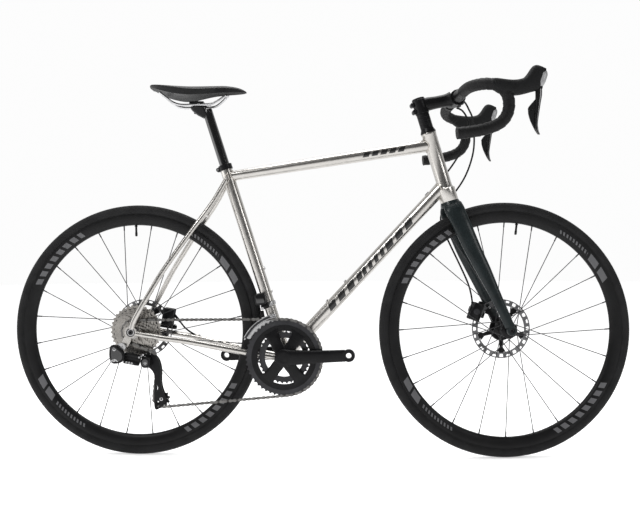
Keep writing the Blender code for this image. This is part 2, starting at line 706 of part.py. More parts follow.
def belt(stations, offset):
    """Points (x, z) round circles in turn, clockwise or, where way is -1, counter-clockwise.

    Each station is (x, z, radius, way, steps).
    """
    points = []
    count = len(stations)
    sides = [(radius + way * offset) * way for _, _, radius, way, _ in stations]
    angles = []
    for i in range(count):
        x0, z0 = stations[i][:2]
        x1, z1 = stations[(i + 1) % count][:2]
        distance = math.hypot(x1 - x0, z1 - z0)
        heading = math.atan2(z1 - z0, x1 - x0) - math.asin((sides[i] - sides[(i + 1) % count]) / distance)
        angles.append(heading + math.pi / 2)
    for i, (x, z, _, way, steps) in enumerate(stations):
        start, end = angles[i - 1], angles[i]
        sweep = (start - end) % (2 * math.pi) if way > 0 else -((end - start) % (2 * math.pi))
        for k in range(steps + 1):
            angle = start - sweep * k / steps
            points.append((x + sides[i] * math.cos(angle), z + sides[i] * math.sin(angle)))
    return points


def chain_stations():
    return (
        (REAR_AXLE.x, REAR_AXLE.z, pitch_radius(COG_SIZES[COG_IN_USE]), 1, 8),
        (BB.x, BB.z, pitch_radius(50), 1, 22),
        (TENSION_PULLEY.x, TENSION_PULLEY.z, pitch_radius(11), 1, 9),
        (GUIDE_PULLEY.x, GUIDE_PULLEY.z, pitch_radius(11), -1, 7),
    )


def build_chain():
    outer = belt(chain_stations(), CHAIN_HEIGHT / 2)
    inner = belt(chain_stations(), -CHAIN_HEIGHT / 2)
    chain = plate("chain", [outer, inner], CHAIN_WIDTH, COG_Y, "silver")
    # the chain runs a little out of line, from the sprocket to the chainring
    for vertex in chain.data.vertices:
        forward = (chain.matrix_world @ vertex.co).x
        share = min(max((forward - 0.11) / 0.18, 0), 1)
        vertex.co.z -= (RING_Y - COG_Y) * share
    return chain


# ---------------------------------------------------------------- derailleurs


def build_rear_derailleur():
    body = block("rear_derailleur_body", (0.026, 0.017, 0.044), (-0.0390, -0.0880, 0.2810), "black_satin",
                 math.radians(-8), 0.004)
    arm = block("hanger_arm", (0.030, 0.0055, 0.016), (-0.0265, -0.0820, 0.3020), "silver",
                math.radians(12), 0.001)
    boss = rod("link_boss", LINK_PIVOTS[0] + Vector((-0.0100, -0.0130, 0)),
               LINK_PIVOTS[0] + Vector((-0.0105, -0.0010, 0)),
               0.0080, "black_satin", sides=12)
    join(body, arm, boss)
    link_axis = pivot("rear_derailleur_link_pivot", LINK_PIVOTS[0])
    knuckle_axis = pivot("rear_derailleur_knuckle_pivot", LINK_PIVOTS[1], link_axis)
    cage_axis = pivot("rear_derailleur_cage_pivot", CAGE_PIVOT, knuckle_axis)
    link = block("rear_derailleur_link", (0.0410, 0.0120, 0.0150), (LINK_PIVOTS[0] + LINK_PIVOTS[1]) / 2,
                 "black_satin", math.radians(11.3), 0.003)
    attach(link_axis, link)
    knuckle = loft(
        "rear_derailleur_knuckle",
        [ring((0.0395, y, 0.2600), (1, 0, 0), (0, 0, 1), 0.0125 * size, 0.0145 * size, 14, 0.7)
         for y, size in ((-0.0855, 0.85), (-0.0835, 1.0), (-0.0620, 1.0), (-0.0606, 0.95))],
        "black_satin",
    )
    attach(knuckle_axis, knuckle)
    cage = plate("rear_derailleur_cage", [cage_outline()], 0.0018, COG_Y - 0.0070, "black_satin")
    inner = plate("inner_cage_plate", [cage_outline()], 0.0016, COG_Y + 0.0058, "black_satin")
    bolts = [
        rod("cage_bolt", (x, COG_Y - 0.0070, z), (x, COG_Y + 0.0058, z), 0.0030, "silver", sides=10)
        for x, z in ((GUIDE_PULLEY.x, GUIDE_PULLEY.z), (TENSION_PULLEY.x, TENSION_PULLEY.z))
    ]
    join(cage, *bolts, inner)
    attach(cage_axis, cage)
    for name, centre in (("guide_pulley", GUIDE_PULLEY), ("tension_pulley", TENSION_PULLEY)):
        axis = pivot(f"{name}_axis", centre, cage_axis)
        radius = pitch_radius(11) - CHAIN_HEIGHT / 2 - 3 * GAP
        pulley = turned(name, [(radius, 0.0012), (radius, -0.0012), (0.0085, -0.0036), (0.0033, -0.0036),
                               (0.0033, 0.0036), (0.0085, 0.0036)], centre, (0, 1, 0), "black_satin", 16)
        attach(axis, pulley)


def cage_outline():
    """The cage's edge: round at both pulleys and narrow between them."""
    return [(0.0300, 0.2490), (0.0285, 0.2620), (0.0330, 0.2720), (0.0450, 0.2770), (0.0600, 0.2740),
            (0.0690, 0.2660),
            (0.0760, 0.2400), (0.0740, 0.2040), (0.0800, 0.1800), (0.0870, 0.1680), (0.0880, 0.1560),
            (0.0800, 0.1460),
            (0.0680, 0.1330), (0.0600, 0.1310), (0.0555, 0.1400), (0.0560, 0.1860), (0.0590, 0.2210),
            (0.0490, 0.2400)]


def build_front_derailleur():
    band_centre = BB + SEAT_UP * ((0.4085 - BB.z) / SEAT_UP.z)
    body = turned("front_derailleur_body", [(0.0188, 0.0060), (0.0188, -0.0060), (0.0162, -0.0060),
                                            (0.0162, 0.0060)],
                  band_centre, SEAT_UP, "silver", 24)
    arm = block("mount_arm", (0.022, 0.022, 0.014), (0.3500, -0.0285, 0.4040), "black_satin",
                math.radians(-17), 0.002)
    motor = block("motor_case", (0.030, 0.026, 0.032), (0.3380, -0.0340, 0.4230), "black_satin",
                  math.radians(-8), 0.004)
    join(body, arm, motor)
    axis = pivot("front_derailleur_cage_guide", (0.348, -0.0410, 0.395))
    centre = (BB.x, BB.z)
    outline = arc(centre, 0.1185, 101, 153, 8) + arc(centre, 0.1010, 153, 101, 8)
    inner_outline = arc(centre, 0.1185, 101, 153, 8) + arc(centre, 0.0900, 153, 101, 8)
    cage = plate("front_derailleur_cage", [outline], 0.0012, -0.0538, "silver")
    inner = plate("inner_guide_plate", [inner_outline], 0.0012, -0.0405, "silver")
    top = block("cage_bridge", (0.018, 0.0145, 0.0030), (0.3720, -0.04715, 0.3800), "silver",
                math.radians(-15))
    tail = block("cage_tail_spacer", (0.006, 0.0145, 0.0030), (0.2985, -0.04715, 0.3195), "silver",
                 math.radians(-60))
    stem = block("cage_link", (0.010, 0.0060, 0.0180), (0.3440, -0.0430, 0.3840), "black_satin",
                 math.radians(-10), 0.001)
    join(cage, top, inner, tail, stem)
    attach(axis, cage)


# ---------------------------------------------------------------- fork, stem and bar


def on_steerer(z):
    return STEER_POINT + STEER_UP * ((z - STEER_POINT.z) / STEER_UP.z)


def build_fork(steering):
    head_bottom = STEER_POINT - STEER_UP * HEAD_TUBE_LENGTH / 2
    square = Vector((STEER_UP.z, 0, -STEER_UP.x))
    fork = loft(
        "fork",
        [ring(head_bottom - STEER_UP * down, square, (0, 1, 0), half_long, half_wide, 12, 0.8)
         for down, half_long, half_wide in ((GAP, 0.0245, 0.0245), (0.0060, 0.0262, 0.0275),
                                            (0.0135, 0.0268, 0.0300))],
        "carbon",
    )
    steerer = rod("steerer", head_bottom - STEER_UP * 0.006, on_steerer(0.9475), 0.0143, "dark_metal",
                  sides=16)
    join(fork, steerer)
    for side in (1, -1):
        leg = loft(
            "fork_leg",
            [ring((x, side * y, z), (STEER_UP.z, 0, -STEER_UP.x), (0, 1, 0), half_long, half_wide, 10, 0.85)
             for x, y, z, half_long, half_wide in (
                (0.8445, 0.0170, 0.6725, 0.0240, 0.0140), (0.8480, 0.0300, 0.6560, 0.0262, 0.0112),
                (0.8570, 0.0350, 0.6330, 0.0252, 0.0112), (0.8690, 0.0395, 0.6050, 0.0240, 0.0110),
                (0.8920, 0.0445, 0.5500, 0.0222, 0.0104), (0.9160, 0.0485, 0.5000, 0.0200, 0.0096),
                (0.9480, 0.0535, 0.4300, 0.0150, 0.0088), (0.9680, 0.0565, 0.3850, 0.0135, 0.0080),
                (0.9840, 0.0580, 0.3480, 0.0125, 0.0068))],
            "carbon",
        )
        eye = rod("fork_end", FRONT_AXLE + Vector((0, side * (FRONT_DROPOUT_Y + GAP), 0)),
                  FRONT_AXLE + Vector((0, side * 0.0640, 0)), 0.0125, "carbon", sides=16)
        join(fork, leg, eye)
    cut(fork, rod("front_axle_hole", FRONT_AXLE - Vector((0, 0.08, 0)), FRONT_AXLE + Vector((0, 0.08, 0)),
                  0.0063, "silver", sides=20))
    attach(steering, fork)

    head_top = STEER_POINT + STEER_UP * HEAD_TUBE_LENGTH / 2
    spacers = turned(
        "headset_spacers",
        [(0.0168, 0.0529), (0.0168, 0.0120), (0.0205, 0.0030), (0.0210, GAP), (0.0147, GAP),
         (0.0147, 0.0529)],
        head_top, STEER_UP, "black_satin", 24,
    )
    clamp_bottom = head_top + STEER_UP * 0.0532
    stem = turned("stem", [(0.0185, 0.0380), (0.0185, 0.0), (0.0147, 0.0), (0.0147, 0.0380)],
                  clamp_bottom, STEER_UP, "black_satin", 20)
    arm_start = clamp_bottom + STEER_UP * 0.0235
    arm_way = (BAR_CENTRE - arm_start).normalized()
    arm_up = Vector((-arm_way.z, 0, arm_way.x))
    arm = loft(
        "stem_arm",
        [ring(arm_start + arm_way * reach, arm_up, (0, 1, 0), high, wide, 12, 0.8)
         for reach, high, wide in ((0.0160, 0.0185, 0.0165), (0.0450, 0.0165, 0.0160),
                                   (0.0700, 0.0175, 0.0170),
                                   (0.0860, 0.0210, 0.0215), (0.0990, 0.0215, 0.0215))],
        "black_satin",
    )
    rear_bolts = [rod("pinch_bolt", clamp_bottom + STEER_UP * high + Vector((-0.0205, -0.012, -0.006)),
                      clamp_bottom + STEER_UP * high + Vector((-0.0205, 0.012, -0.006)), 0.0042,
                      "dark_metal", sides=10)
                  for high in (0.010, 0.030)]
    pinch = block("pinch_ears", (0.0100, 0.0160, 0.0340),
                  clamp_bottom + STEER_UP * 0.020 + Vector((-0.0205, 0, -0.006)),
                  "black_satin", math.radians(-16.8), 0.002)
    join(stem, arm, pinch, *rear_bolts)
    bar_cutter = rod("bar_clamp_cutter", BAR_CENTRE - Vector((0, 0.06, 0)),
                     BAR_CENTRE + Vector((0, 0.06, 0)),
                     0.0162, "silver", sides=24)
    face_cutter = block("face_gap_cutter", (0.0600, 0.1200, 0.1000), BAR_CENTRE + arm_way * 0.0300,
                        "silver",
                        -math.asin(arm_way.z))
    steerer_cutter = rod("steerer_cutter", clamp_bottom - STEER_UP * 0.02, clamp_bottom + STEER_UP * 0.08,
                         0.0147, "silver", sides=20)
    cut(stem, bar_cutter, face_cutter, steerer_cutter)
    face = loft(
        "stem_faceplate",
        [ring(BAR_CENTRE + arm_way * reach, arm_up, (0, 1, 0), high, wide, 12, 0.7)
         for reach, high, wide in ((0.0006, 0.0215, 0.0215), (0.0120, 0.0215, 0.0215),
                                   (0.0185, 0.0180, 0.0200),
                                   (0.0212, 0.0120, 0.0180))],
        "black_satin",
    )
    cut(face, bar_cutter)
    cap = turned("top_cap", [(0.0, 0.0430), (0.0150, 0.0430), (0.0172, 0.0410), (0.0172, 0.0370),
                             (0.0, 0.0370)],
                 clamp_bottom, STEER_UP, "black_satin", 20, closed=False)
    join(stem, cap)
    attach(steering, spacers, stem, face)


BAR_HALF = (
    ((0.8620, 0.0000, 0.9550), 0.0159), ((0.8620, 0.0380, 0.9550), 0.0159),
    ((0.8620, 0.0520, 0.9550), 0.0122), ((0.8620, 0.0720, 0.9550), 0.0122),
    ((0.8620, 0.0740, 0.9550), 0.0148), ((0.8625, 0.1150, 0.9540), 0.0150),
    ((0.8655, 0.1480, 0.9515), 0.0150), ((0.8735, 0.1750, 0.9490), 0.0150),
    ((0.8850, 0.1950, 0.9465), 0.0150), ((0.8990, 0.2060, 0.9435), 0.0150),
    ((0.9140, 0.2110, 0.9390), 0.0150), ((0.9280, 0.2125, 0.9290), 0.0150),
    ((0.9375, 0.2130, 0.9120), 0.0150), ((0.9400, 0.2130, 0.8900), 0.0150),
    ((0.9350, 0.2130, 0.8690), 0.0150), ((0.9220, 0.2130, 0.8510), 0.0150),
    ((0.9010, 0.2130, 0.8390), 0.0150), ((0.8720, 0.2130, 0.8305), 0.0150),
    ((0.8400, 0.2130, 0.8250), 0.0150), ((0.8120, 0.2130, 0.8220), 0.0150),
)


def bar_points(extra=0.0):
    """The bar's centre line from its left end to its right end, and its radius at each point."""
    left = [(Vector((x, y, z)), radius + extra) for (x, y, z), radius in BAR_HALF]
    right = [(Vector((place.x, -place.y, place.z)), radius) for place, radius in left[1:]]
    return list(reversed(left)) + right


def build_handlebar(steering):
    route = bar_points()
    bar = tube("handlebar", [p for p, _ in route], [r for _, r in route], "rubber", sides=10)
    attach(steering, bar)


def build_controls(steering):
    route = bar_points(GAP + 0.0004)
    for name, side in (("left", 1), ("right", -1)):
        y = side * HOOD_Y
        hood = loft(
            f"{name}_lever_body",
            [ring((x, y, z), (0, 0, 1), (0, 1, 0), high, wide, 12, 0.85)
             for x, z, high, wide in (
                 (0.9360, 0.9330, 0.0185, 0.0140), (0.9600, 0.9335, 0.0190, 0.0160),
                 (0.9800, 0.9390, 0.0205, 0.0160),
                 (0.9980, 0.9520, 0.0290, 0.0155), (1.0120, 0.9590, 0.0295, 0.0140),
                 (1.0260, 0.9610, 0.0235, 0.0115),
                 (1.0345, 0.9640, 0.0140, 0.0070))],
            "rubber",
        )
        half_route = [(p, r) for p, r in route if p.y * side > 0.10]
        bar_cutter = tube("bar_cutter", [p for p, _ in half_route], [r for _, r in half_route], "silver",
                          12)
        pocket = block("lever_pocket", (0.0380, 0.0126, 0.0330), (1.0160, y, 0.9330), "silver")
        cut(hood, bar_cutter, pocket)
        attach(steering, hood)

        lever_axis = pivot(f"{name}_lever_pivot", (LEVER_PIVOT_X, y, LEVER_PIVOT_Z), steering)
        lever = loft(
            f"{name}_brake_lever",
            [ring((x, y, z), (1, 0, 0), (0, 1, 0), half_long, half_wide, 10, 0.8)
             for x, z, half_long, half_wide in (
                 (1.0130, 0.9430, 0.0060, 0.0050), (1.0130, 0.9350, 0.0085, 0.0055),
                 (1.0130, 0.9160, 0.0082, 0.0055),
                 (1.0110, 0.8980, 0.0070, 0.0052), (1.0090, 0.8800, 0.0060, 0.0050),
                 (1.0065, 0.8600, 0.0052, 0.0050),
                 (1.0055, 0.8450, 0.0046, 0.0048), (1.0075, 0.8300, 0.0042, 0.0045),
                 (1.0125, 0.8200, 0.0026, 0.0035))],
            "black_satin",
        )
        attach(lever_axis, lever)
        for paddle, outline in (
            ("upper", [(1.0040, 0.9150), (1.0030, 0.8990), (1.0022, 0.8860), (0.9920, 0.8775),
                       (0.9895, 0.8870), (0.9970, 0.9060)]),
            ("lower", [(1.0018, 0.8845), (1.0004, 0.8620), (1.0000, 0.8480), (0.9972, 0.8450),
                       (0.9900, 0.8650), (0.9905, 0.8755)]),
        ):
            top = Vector((outline[0][0] - 0.004, y, outline[0][1] - 0.004))
            paddle_axis = pivot(f"{name}_{paddle}_paddle_pivot", top, lever_axis)
            attach(paddle_axis, plate(f"{name}_{paddle}_shift_paddle", [outline], 0.0042, y, "black_satin"))


def build_brakes(steering):
    rear = block("rear_caliper", (0.030, 0.034, 0.048), (0.0690, REAR_ROTOR_Y, 0.3700), "black_satin",
                 math.radians(10), 0.004)
    foot = block("rear_caliper_foot", (0.048, 0.0150, 0.0110), (0.0660, 0.0645, 0.3425), "black_satin",
                 math.radians(9), 0.001)
    join(rear, foot)
    cut(rear, disc_slot("rear_disc_slot", REAR_AXLE, REAR_ROTOR_Y))
    front = block("front_caliper", (0.030, 0.034, 0.048), (0.9185, FRONT_ROTOR_Y, 0.3850), "black_satin",
                  math.radians(20), 0.004)
    mount = block("front_caliper_mount", (0.012, 0.0120, 0.040), (0.9395, 0.0500, 0.3820), "black_satin",
                  math.radians(20), 0.001)
    join(front, mount)
    cut(front, disc_slot("front_disc_slot", FRONT_AXLE, FRONT_ROTOR_Y), fork_leg_clearance())
    tube("rear_brake_hose", REAR_HOSE_POINTS, HOSE_RADIUS, "rubber", sides=8)
    hose = tube("front_brake_hose", FRONT_HOSE_POINTS, HOSE_RADIUS, "rubber", sides=8)
    attach(steering, front, hose)


def disc_slot(name, axle, y):
    """The space that a brake disc turns in."""
    return rod(name, axle + Vector((0, y - 0.0021, 0)), axle + Vector((0, y + 0.0021, 0)),
               ROTOR_RADIUS + 0.0015,
               "silver", sides=48)


def fork_leg_clearance():
    """The left fork leg, a little larger."""
    return loft(
        "fork_leg_cutter",
        [ring((x, y, z), (STEER_UP.z, 0, -STEER_UP.x), (0, 1, 0), half_long + 0.0006, half_wide + 0.0006,
              10, 0.85)
         for x, y, z, half_long, half_wide in (
            (0.9160, 0.0485, 0.5000, 0.0200, 0.0096), (0.9480, 0.0535, 0.4300, 0.0150, 0.0088),
            (0.9680, 0.0565, 0.3850, 0.0135, 0.0080), (0.9840, 0.0580, 0.3480, 0.0125, 0.0068))],
        "silver",
    )


FRONT_HOSE_POINTS = (
    (0.870, -0.045, 0.939), (0.879, -0.038, 0.932), (0.890, -0.026, 0.919), (0.901, -0.015, 0.902),
    (0.908, -0.002, 0.872), (0.912, 0.010, 0.842), (0.911, 0.020, 0.812), (0.903, 0.029, 0.778),
    (0.889, 0.034, 0.745), (0.869, 0.038, 0.714), (0.850, 0.044, 0.690), (0.834, 0.048, 0.664),
    (0.828, 0.0505, 0.636), (0.836, 0.0510, 0.606), (0.856, 0.0515, 0.562), (0.882, 0.0530, 0.508),
    (0.902, 0.0520, 0.462), (0.909, 0.0470, 0.432), (0.911, 0.0430, 0.4120),
)


def main():
    clear_scene()
    build_frame()
    build_seat()
    steering = pivot("steering_axis", STEER_POINT)
    build_wheels(steering)
    build_crankset()
    build_cassette()
    build_chain()
    build_rear_derailleur()
    build_front_derailleur()
    build_fork(steering)
    build_handlebar(steering)
    build_controls(steering)
    build_brakes(steering)
    for obj in bpy.data.collections["road_bicycle"].objects:
        if obj.type == "MESH":
            obj.data.shade_smooth()
            obj.data.set_sharp_from_angle(angle=math.radians(35))
    steering.rotation_mode = "QUATERNION"
    steering.rotation_quaternion = Quaternion(STEER_UP, STEER_TURN)


main()
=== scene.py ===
import json
from math import asin, atan2, copysign, cos, degrees, exp, hypot, pi, radians, sin, sqrt

import bmesh
import bpy
from mathutils import Matrix, Vector

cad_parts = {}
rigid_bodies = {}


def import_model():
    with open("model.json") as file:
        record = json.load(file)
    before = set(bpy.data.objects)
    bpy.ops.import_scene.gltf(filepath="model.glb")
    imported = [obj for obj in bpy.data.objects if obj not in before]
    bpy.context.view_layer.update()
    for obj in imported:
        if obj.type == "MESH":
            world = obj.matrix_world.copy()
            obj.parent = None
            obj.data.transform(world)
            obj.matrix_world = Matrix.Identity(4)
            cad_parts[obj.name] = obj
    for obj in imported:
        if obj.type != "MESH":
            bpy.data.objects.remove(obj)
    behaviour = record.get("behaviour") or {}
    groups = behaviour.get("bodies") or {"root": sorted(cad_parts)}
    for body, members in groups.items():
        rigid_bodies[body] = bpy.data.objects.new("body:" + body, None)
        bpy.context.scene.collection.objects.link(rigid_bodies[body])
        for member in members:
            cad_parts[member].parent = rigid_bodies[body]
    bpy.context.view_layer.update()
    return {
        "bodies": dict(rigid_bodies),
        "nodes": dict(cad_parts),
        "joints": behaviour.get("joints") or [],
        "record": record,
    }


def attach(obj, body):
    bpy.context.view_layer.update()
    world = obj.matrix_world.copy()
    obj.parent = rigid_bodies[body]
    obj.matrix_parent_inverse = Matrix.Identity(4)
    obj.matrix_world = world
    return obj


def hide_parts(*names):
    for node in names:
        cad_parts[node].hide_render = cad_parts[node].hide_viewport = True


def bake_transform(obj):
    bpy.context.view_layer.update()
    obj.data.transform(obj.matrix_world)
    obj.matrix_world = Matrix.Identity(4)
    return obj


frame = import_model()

LEFT = Vector((0, 1, 0))

# ---------------------------------------------------------------- driving sizes, in metres

JOINTS = {joint["name"]: joint for joint in frame["joints"]}
WHEEL_RADIUS = 0.3385
REAR_AXLE = Vector(JOINTS["rear_wheel_spin"]["pos_m"])
BB = Vector(JOINTS["crank_spin"]["pos_m"])
STEER_POINT = Vector(JOINTS["steering"]["pos_m"])
STEER_UP = Vector(JOINTS["steering"]["axis"])
STEER_TURN = radians(6.9)
# steering pieces are made pointing straight ahead, and then turned to their place
TO_STEERED = (
    Matrix.Translation(STEER_POINT) @ Matrix.Rotation(STEER_TURN, 4, STEER_UP) @ Matrix.Translation(-STEER_POINT)
)
FRONT_AXLE = Vector((0.9883, 0, WHEEL_RADIUS))
FORWARD_OF_STEER = Vector((STEER_UP.z, 0, -STEER_UP.x))
HEAD_LENGTH = 0.19
HEAD_BOTTOM = STEER_POINT - STEER_UP * (HEAD_LENGTH / 2)
HEAD_TOP = STEER_POINT + STEER_UP * (HEAD_LENGTH / 2)
SEAT_ANGLE = radians(72.5)
SEAT_UP = Vector((-cos(SEAT_ANGLE), 0, sin(SEAT_ANGLE)))
SEAT_FRONT = Vector((SEAT_UP.z, 0, -SEAT_UP.x))
SEAT_TOP = BB + SEAT_UP * 0.5375
SEAT_TUBE_RADIUS = 0.0159
TOP_TUBE = (Vector((0.248, 0, 0.7523)), Vector((0.7958, 0, 0.8302)))
DOWN_TUBE = (BB, Vector((0.828, 0, 0.725)))
DOWN_TUBE_RADIUS = 0.0175
TOP_WAY = (TOP_TUBE[1] - TOP_TUBE[0]).normalized()
DOWN_WAY = (DOWN_TUBE[1] - DOWN_TUBE[0]).normalized()
RIM_INNER_RADIUS = 0.2843
CRANK_LENGTH = 0.1715
CRANK_TILT = radians(2.6)
SPIDER_ANGLES = (57, 118, 232, 306)  # of the crank's arms to the large ring, in degrees
CHAIN_PITCH = 0.0127
LARGE_RING_TEETH, SMALL_RING_TEETH, COG_TEETH_IN_USE, PULLEY_TEETH = 50, 34, 15, 11
RING_Y = -0.047
SMALL_RING_Y = -0.0395
COG_SIZES = (11, 12, 13, 14, 15, 17, 19, 21, 24, 27, 30, 34)
FIRST_COG_Y = -0.0645
COG_PITCH_Y = 0.00358
COG_Y = FIRST_COG_Y + COG_SIZES.index(COG_TEETH_IN_USE) * COG_PITCH_Y
GUIDE_PULLEY = Vector(JOINTS["guide_pulley_spin"]["pos_m"])
TENSION_PULLEY = Vector(JOINTS["tension_pulley_spin"]["pos_m"])
LINK_PIVOTS = (
    Vector(JOINTS["rear_derailleur_shift"]["pos_m"]), Vector(JOINTS["rear_derailleur_knuckle_turn"]["pos_m"])
)
BAR_CENTRE = Vector((0.862, 0, 0.955))
HOOD_Y = 0.213
REAR_ROTOR_Y = 0.0545
FRONT_ROTOR_Y = 0.0395


# ---------------------------------------------------------------- materials


class Nodes:
    """The node tree of a material or a world, with short calls to add to it."""

    def __init__(self, owner, shader="Principled BSDF"):
        owner.use_nodes = True
        self.owner = owner
        self.tree = owner.node_tree
        self.shader = self.tree.nodes[shader]

    def fill(self, node, sockets):
        """Sets each input to a number or a colour, or links another node's output to it."""
        for key, value in sockets.items():
            socket = node.inputs[key]
            if isinstance(value, bpy.types.NodeSocket):
                self.tree.links.new(value, socket)
            else:
                socket.default_value = (*value, 1) if socket.type == "RGBA" else value

    def shade(self, **sockets):
        self.fill(self.shader, {key.replace("_", " "): value for key, value in sockets.items()})

    def add(self, kind, sockets=None, **settings):
        node = self.tree.nodes.new("ShaderNode" + kind)
        for key, value in settings.items():
            setattr(node, key, value)
        self.fill(node, sockets or {})
        return node

    def place(self, scale, uv=False):
        """Coordinates in metres times scale: along and round a piece with uv, or in the frame without."""
        where = self.add("TexCoord").outputs["UV" if uv else "Object"]
        scales = scale if isinstance(scale, tuple) else (scale,) * 3
        return self.add("Mapping", {"Vector": where, "Scale": scales}).outputs["Vector"]

    def split(self, kind):
        """The three numbers of a place."""
        where = self.add("TexCoord").outputs[kind]
        parts = self.add("SeparateXYZ", {"Vector": where}).outputs
        return parts["X"], parts["Y"], parts["Z"]

    def noise(self, scale, detail=3.0, roughness=0.5, uv=False):
        sockets = {"Vector": self.place(scale, uv), "Scale": 1.0, "Detail": detail, "Roughness": roughness}
        return self.add("TexNoise", sockets).outputs["Fac"]

    def cells(self, feature, scale, uv=False):
        sockets = {"Vector": self.place(scale, uv), "Scale": 1.0}
        return self.add("TexVoronoi", sockets, feature=feature).outputs["Distance"]

    def spread(self, value, low, high, start=0.3, end=0.7, **settings):
        sockets = {"Value": value, "From Min": start, "From Max": end, "To Min": low, "To Max": high}
        return self.add("MapRange", sockets, **settings).outputs["Result"]

    def mix(self, share, first, second):
        return self.add("Mix", {0: share, 6: first, 7: second}, data_type="RGBA").outputs[2]

    def vary(self, noise, dark, light):
        return self.mix(self.spread(noise, 0.0, 1.0), dark, light)

    def math(self, operation, *values):
        return self.add("Math", dict(enumerate(values)), operation=operation).outputs["Value"]

    def all_of(self, *tests):
        """1 where every test is 1. A test is (value, comparison, limit)."""
        found = None
        for value, comparison, limit in tests:
            met = self.math(comparison, value, limit)
            found = met if found is None else self.math("MULTIPLY", found, met)
        return found

    def bump(self, height, strength, distance):
        sockets = {"Height": height, "Strength": strength, "Distance": distance}
        self.shade(Normal=self.add("Bump", sockets).outputs["Normal"])


def new_material(name):
    return Nodes(bpy.data.materials.new(name))


def surface(name, colour, rough, metallic=0.0, grain=900, depth=0.00004, variation=0.18, wear=None, coat=0.0,
            shine=0.5):
    """A surface with grain at a real scale: colour and roughness vary with it, and its bump follows it."""
    made = new_material(name)
    fine = made.noise(grain, 4.0, 0.6)
    broad = made.noise(38, 3.0, 0.55)
    tone = made.vary(broad, *(tuple(c * (1 + change) for c in colour) for change in (-variation, variation)))
    if wear:
        tone = made.mix(made.spread(fine, 0.0, 0.35, 0.58, 0.75), tone, wear)
    if coat:
        made.shade(Coat_Weight=coat, Coat_Roughness=0.12)
    made.shade(Base_Color=tone, Roughness=made.spread(fine, *rough), Metallic=metallic, Specular_IOR_Level=shine)
    made.bump(fine, 0.35, depth)
    return made.owner


def titanium(name, start=None, way=None, rows=()):
    """Brushed bare metal. A row is (first, last, pitch, width, half_height): dark slanted bars printed along a
    tube that begins at start and runs along way."""
    made = new_material(name)
    streaks = made.noise((45, 2600, 1), 5.0, 0.65, uv=True)
    broad = made.noise(22)
    tone = made.vary(streaks, (0.4, 0.385, 0.365), (0.6, 0.585, 0.56))
    tone = made.mix(made.spread(broad, 0.0, 0.35), tone, (0.38, 0.365, 0.345))
    metallic = 1.0
    if rows:
        x, y, z = made.split("Object")
        along = made.math("MULTIPLY_ADD", z, way.z, -start.dot(way))
        along = made.math("MULTIPLY_ADD", x, way.x, along)
        across = made.math("MULTIPLY_ADD", x, -way.z, start.x * way.z - start.z * way.x)
        across = made.math("MULTIPLY_ADD", z, way.x, across)
        place = made.math("MULTIPLY_ADD", across, -0.55, along)
        height = made.math("ABSOLUTE", across)
        inked = 0.0
        for first, last, pitch, width, half_height in rows:
            turns = made.math("FRACT", made.math("MULTIPLY_ADD", place, 1 / pitch, -first / pitch))
            bar = made.all_of((turns, "LESS_THAN", width / pitch), (place, "GREATER_THAN", first),
                              (place, "LESS_THAN", last), (height, "LESS_THAN", half_height))
            inked = made.math("MAXIMUM", bar, inked)
        # only the side towards the drivetrain is printed
        inked = made.math("MULTIPLY", inked, made.math("LESS_THAN", y, 0.0))
        tone = made.mix(inked, tone, (0.012, 0.012, 0.012))
        metallic = made.math("SUBTRACT", 1.0, inked)
    made.shade(Base_Color=tone, Roughness=made.spread(streaks, 0.2, 0.33), Metallic=metallic)
    made.bump(streaks, 0.25, 0.00003)
    return made.owner


def tyre_rubber():
    """Dark rubber: a fine file pattern on the tread, and moulding rings on the side walls."""
    made = new_material("tyre_rubber")
    along, across, _ = made.split("UV")
    from_middle = made.math("ABSOLUTE", across)
    tread = made.math("LESS_THAN", from_middle, 0.0105)
    slant = made.math("ADD", along, made.math("MULTIPLY", from_middle, 0.9))
    files = made.math("SINE", made.math("MULTIPLY", slant, 2 * pi / 0.0042))
    rings = made.math("SINE", made.math("MULTIPLY", across, 2 * pi / 0.0011))
    grain = made.noise(1400)
    height = made.math("MULTIPLY_ADD", made.math("MULTIPLY", files, 0.5), tread, grain)
    side = made.math("SUBTRACT", 1.0, tread)
    height = made.math("MULTIPLY_ADD", made.math("MULTIPLY", rings, 0.4), side, height)
    tone = made.vary(made.noise(30), (0.0085, 0.0085, 0.009), (0.015, 0.015, 0.0155))
    # the tread band is painted a little lighter than the side walls: a painted sheen along the tyre's outer edge
    tone = made.mix(tread, tone, (0.018, 0.018, 0.0185))
    made.shade(Base_Color=tone, Roughness=made.spread(grain, 0.58, 0.78), Specular_IOR_Level=0.18)
    made.bump(height, 0.5, 0.00012)
    return made.owner


def rim_carbon():
    """Satin black, with groups of grey slanted bars on each side."""
    made = new_material("rim_satin_black")
    along, across, _ = made.split("UV")
    from_middle = made.math("ABSOLUTE", across)
    slanted = made.math("ADD", along, made.math("MULTIPLY", from_middle, 0.45))
    printed = 0.0
    for start, length, pitch, width, low, high in RIM_BARS:
        place = made.math("SUBTRACT", slanted, start * RIM_GIRTH / 360)
        turns = made.math("MODULO", place, pitch)
        group = made.all_of((place, "GREATER_THAN", 0.0), (place, "LESS_THAN", length), (turns, "LESS_THAN", width),
                            (from_middle, "GREATER_THAN", low), (from_middle, "LESS_THAN", high))
        printed = made.math("MAXIMUM", group, printed)
    grain = made.noise(700)
    tone = made.vary(made.noise(26, 2.0), (0.0035, 0.0035, 0.0038), (0.0065, 0.0065, 0.007))
    tone = made.mix(printed, tone, (0.115, 0.115, 0.12))
    made.shade(Base_Color=tone, Roughness=made.spread(grain, 0.36, 0.48), Specular_IOR_Level=0.2)
    made.bump(grain, 0.2, 0.00003)
    return made.owner


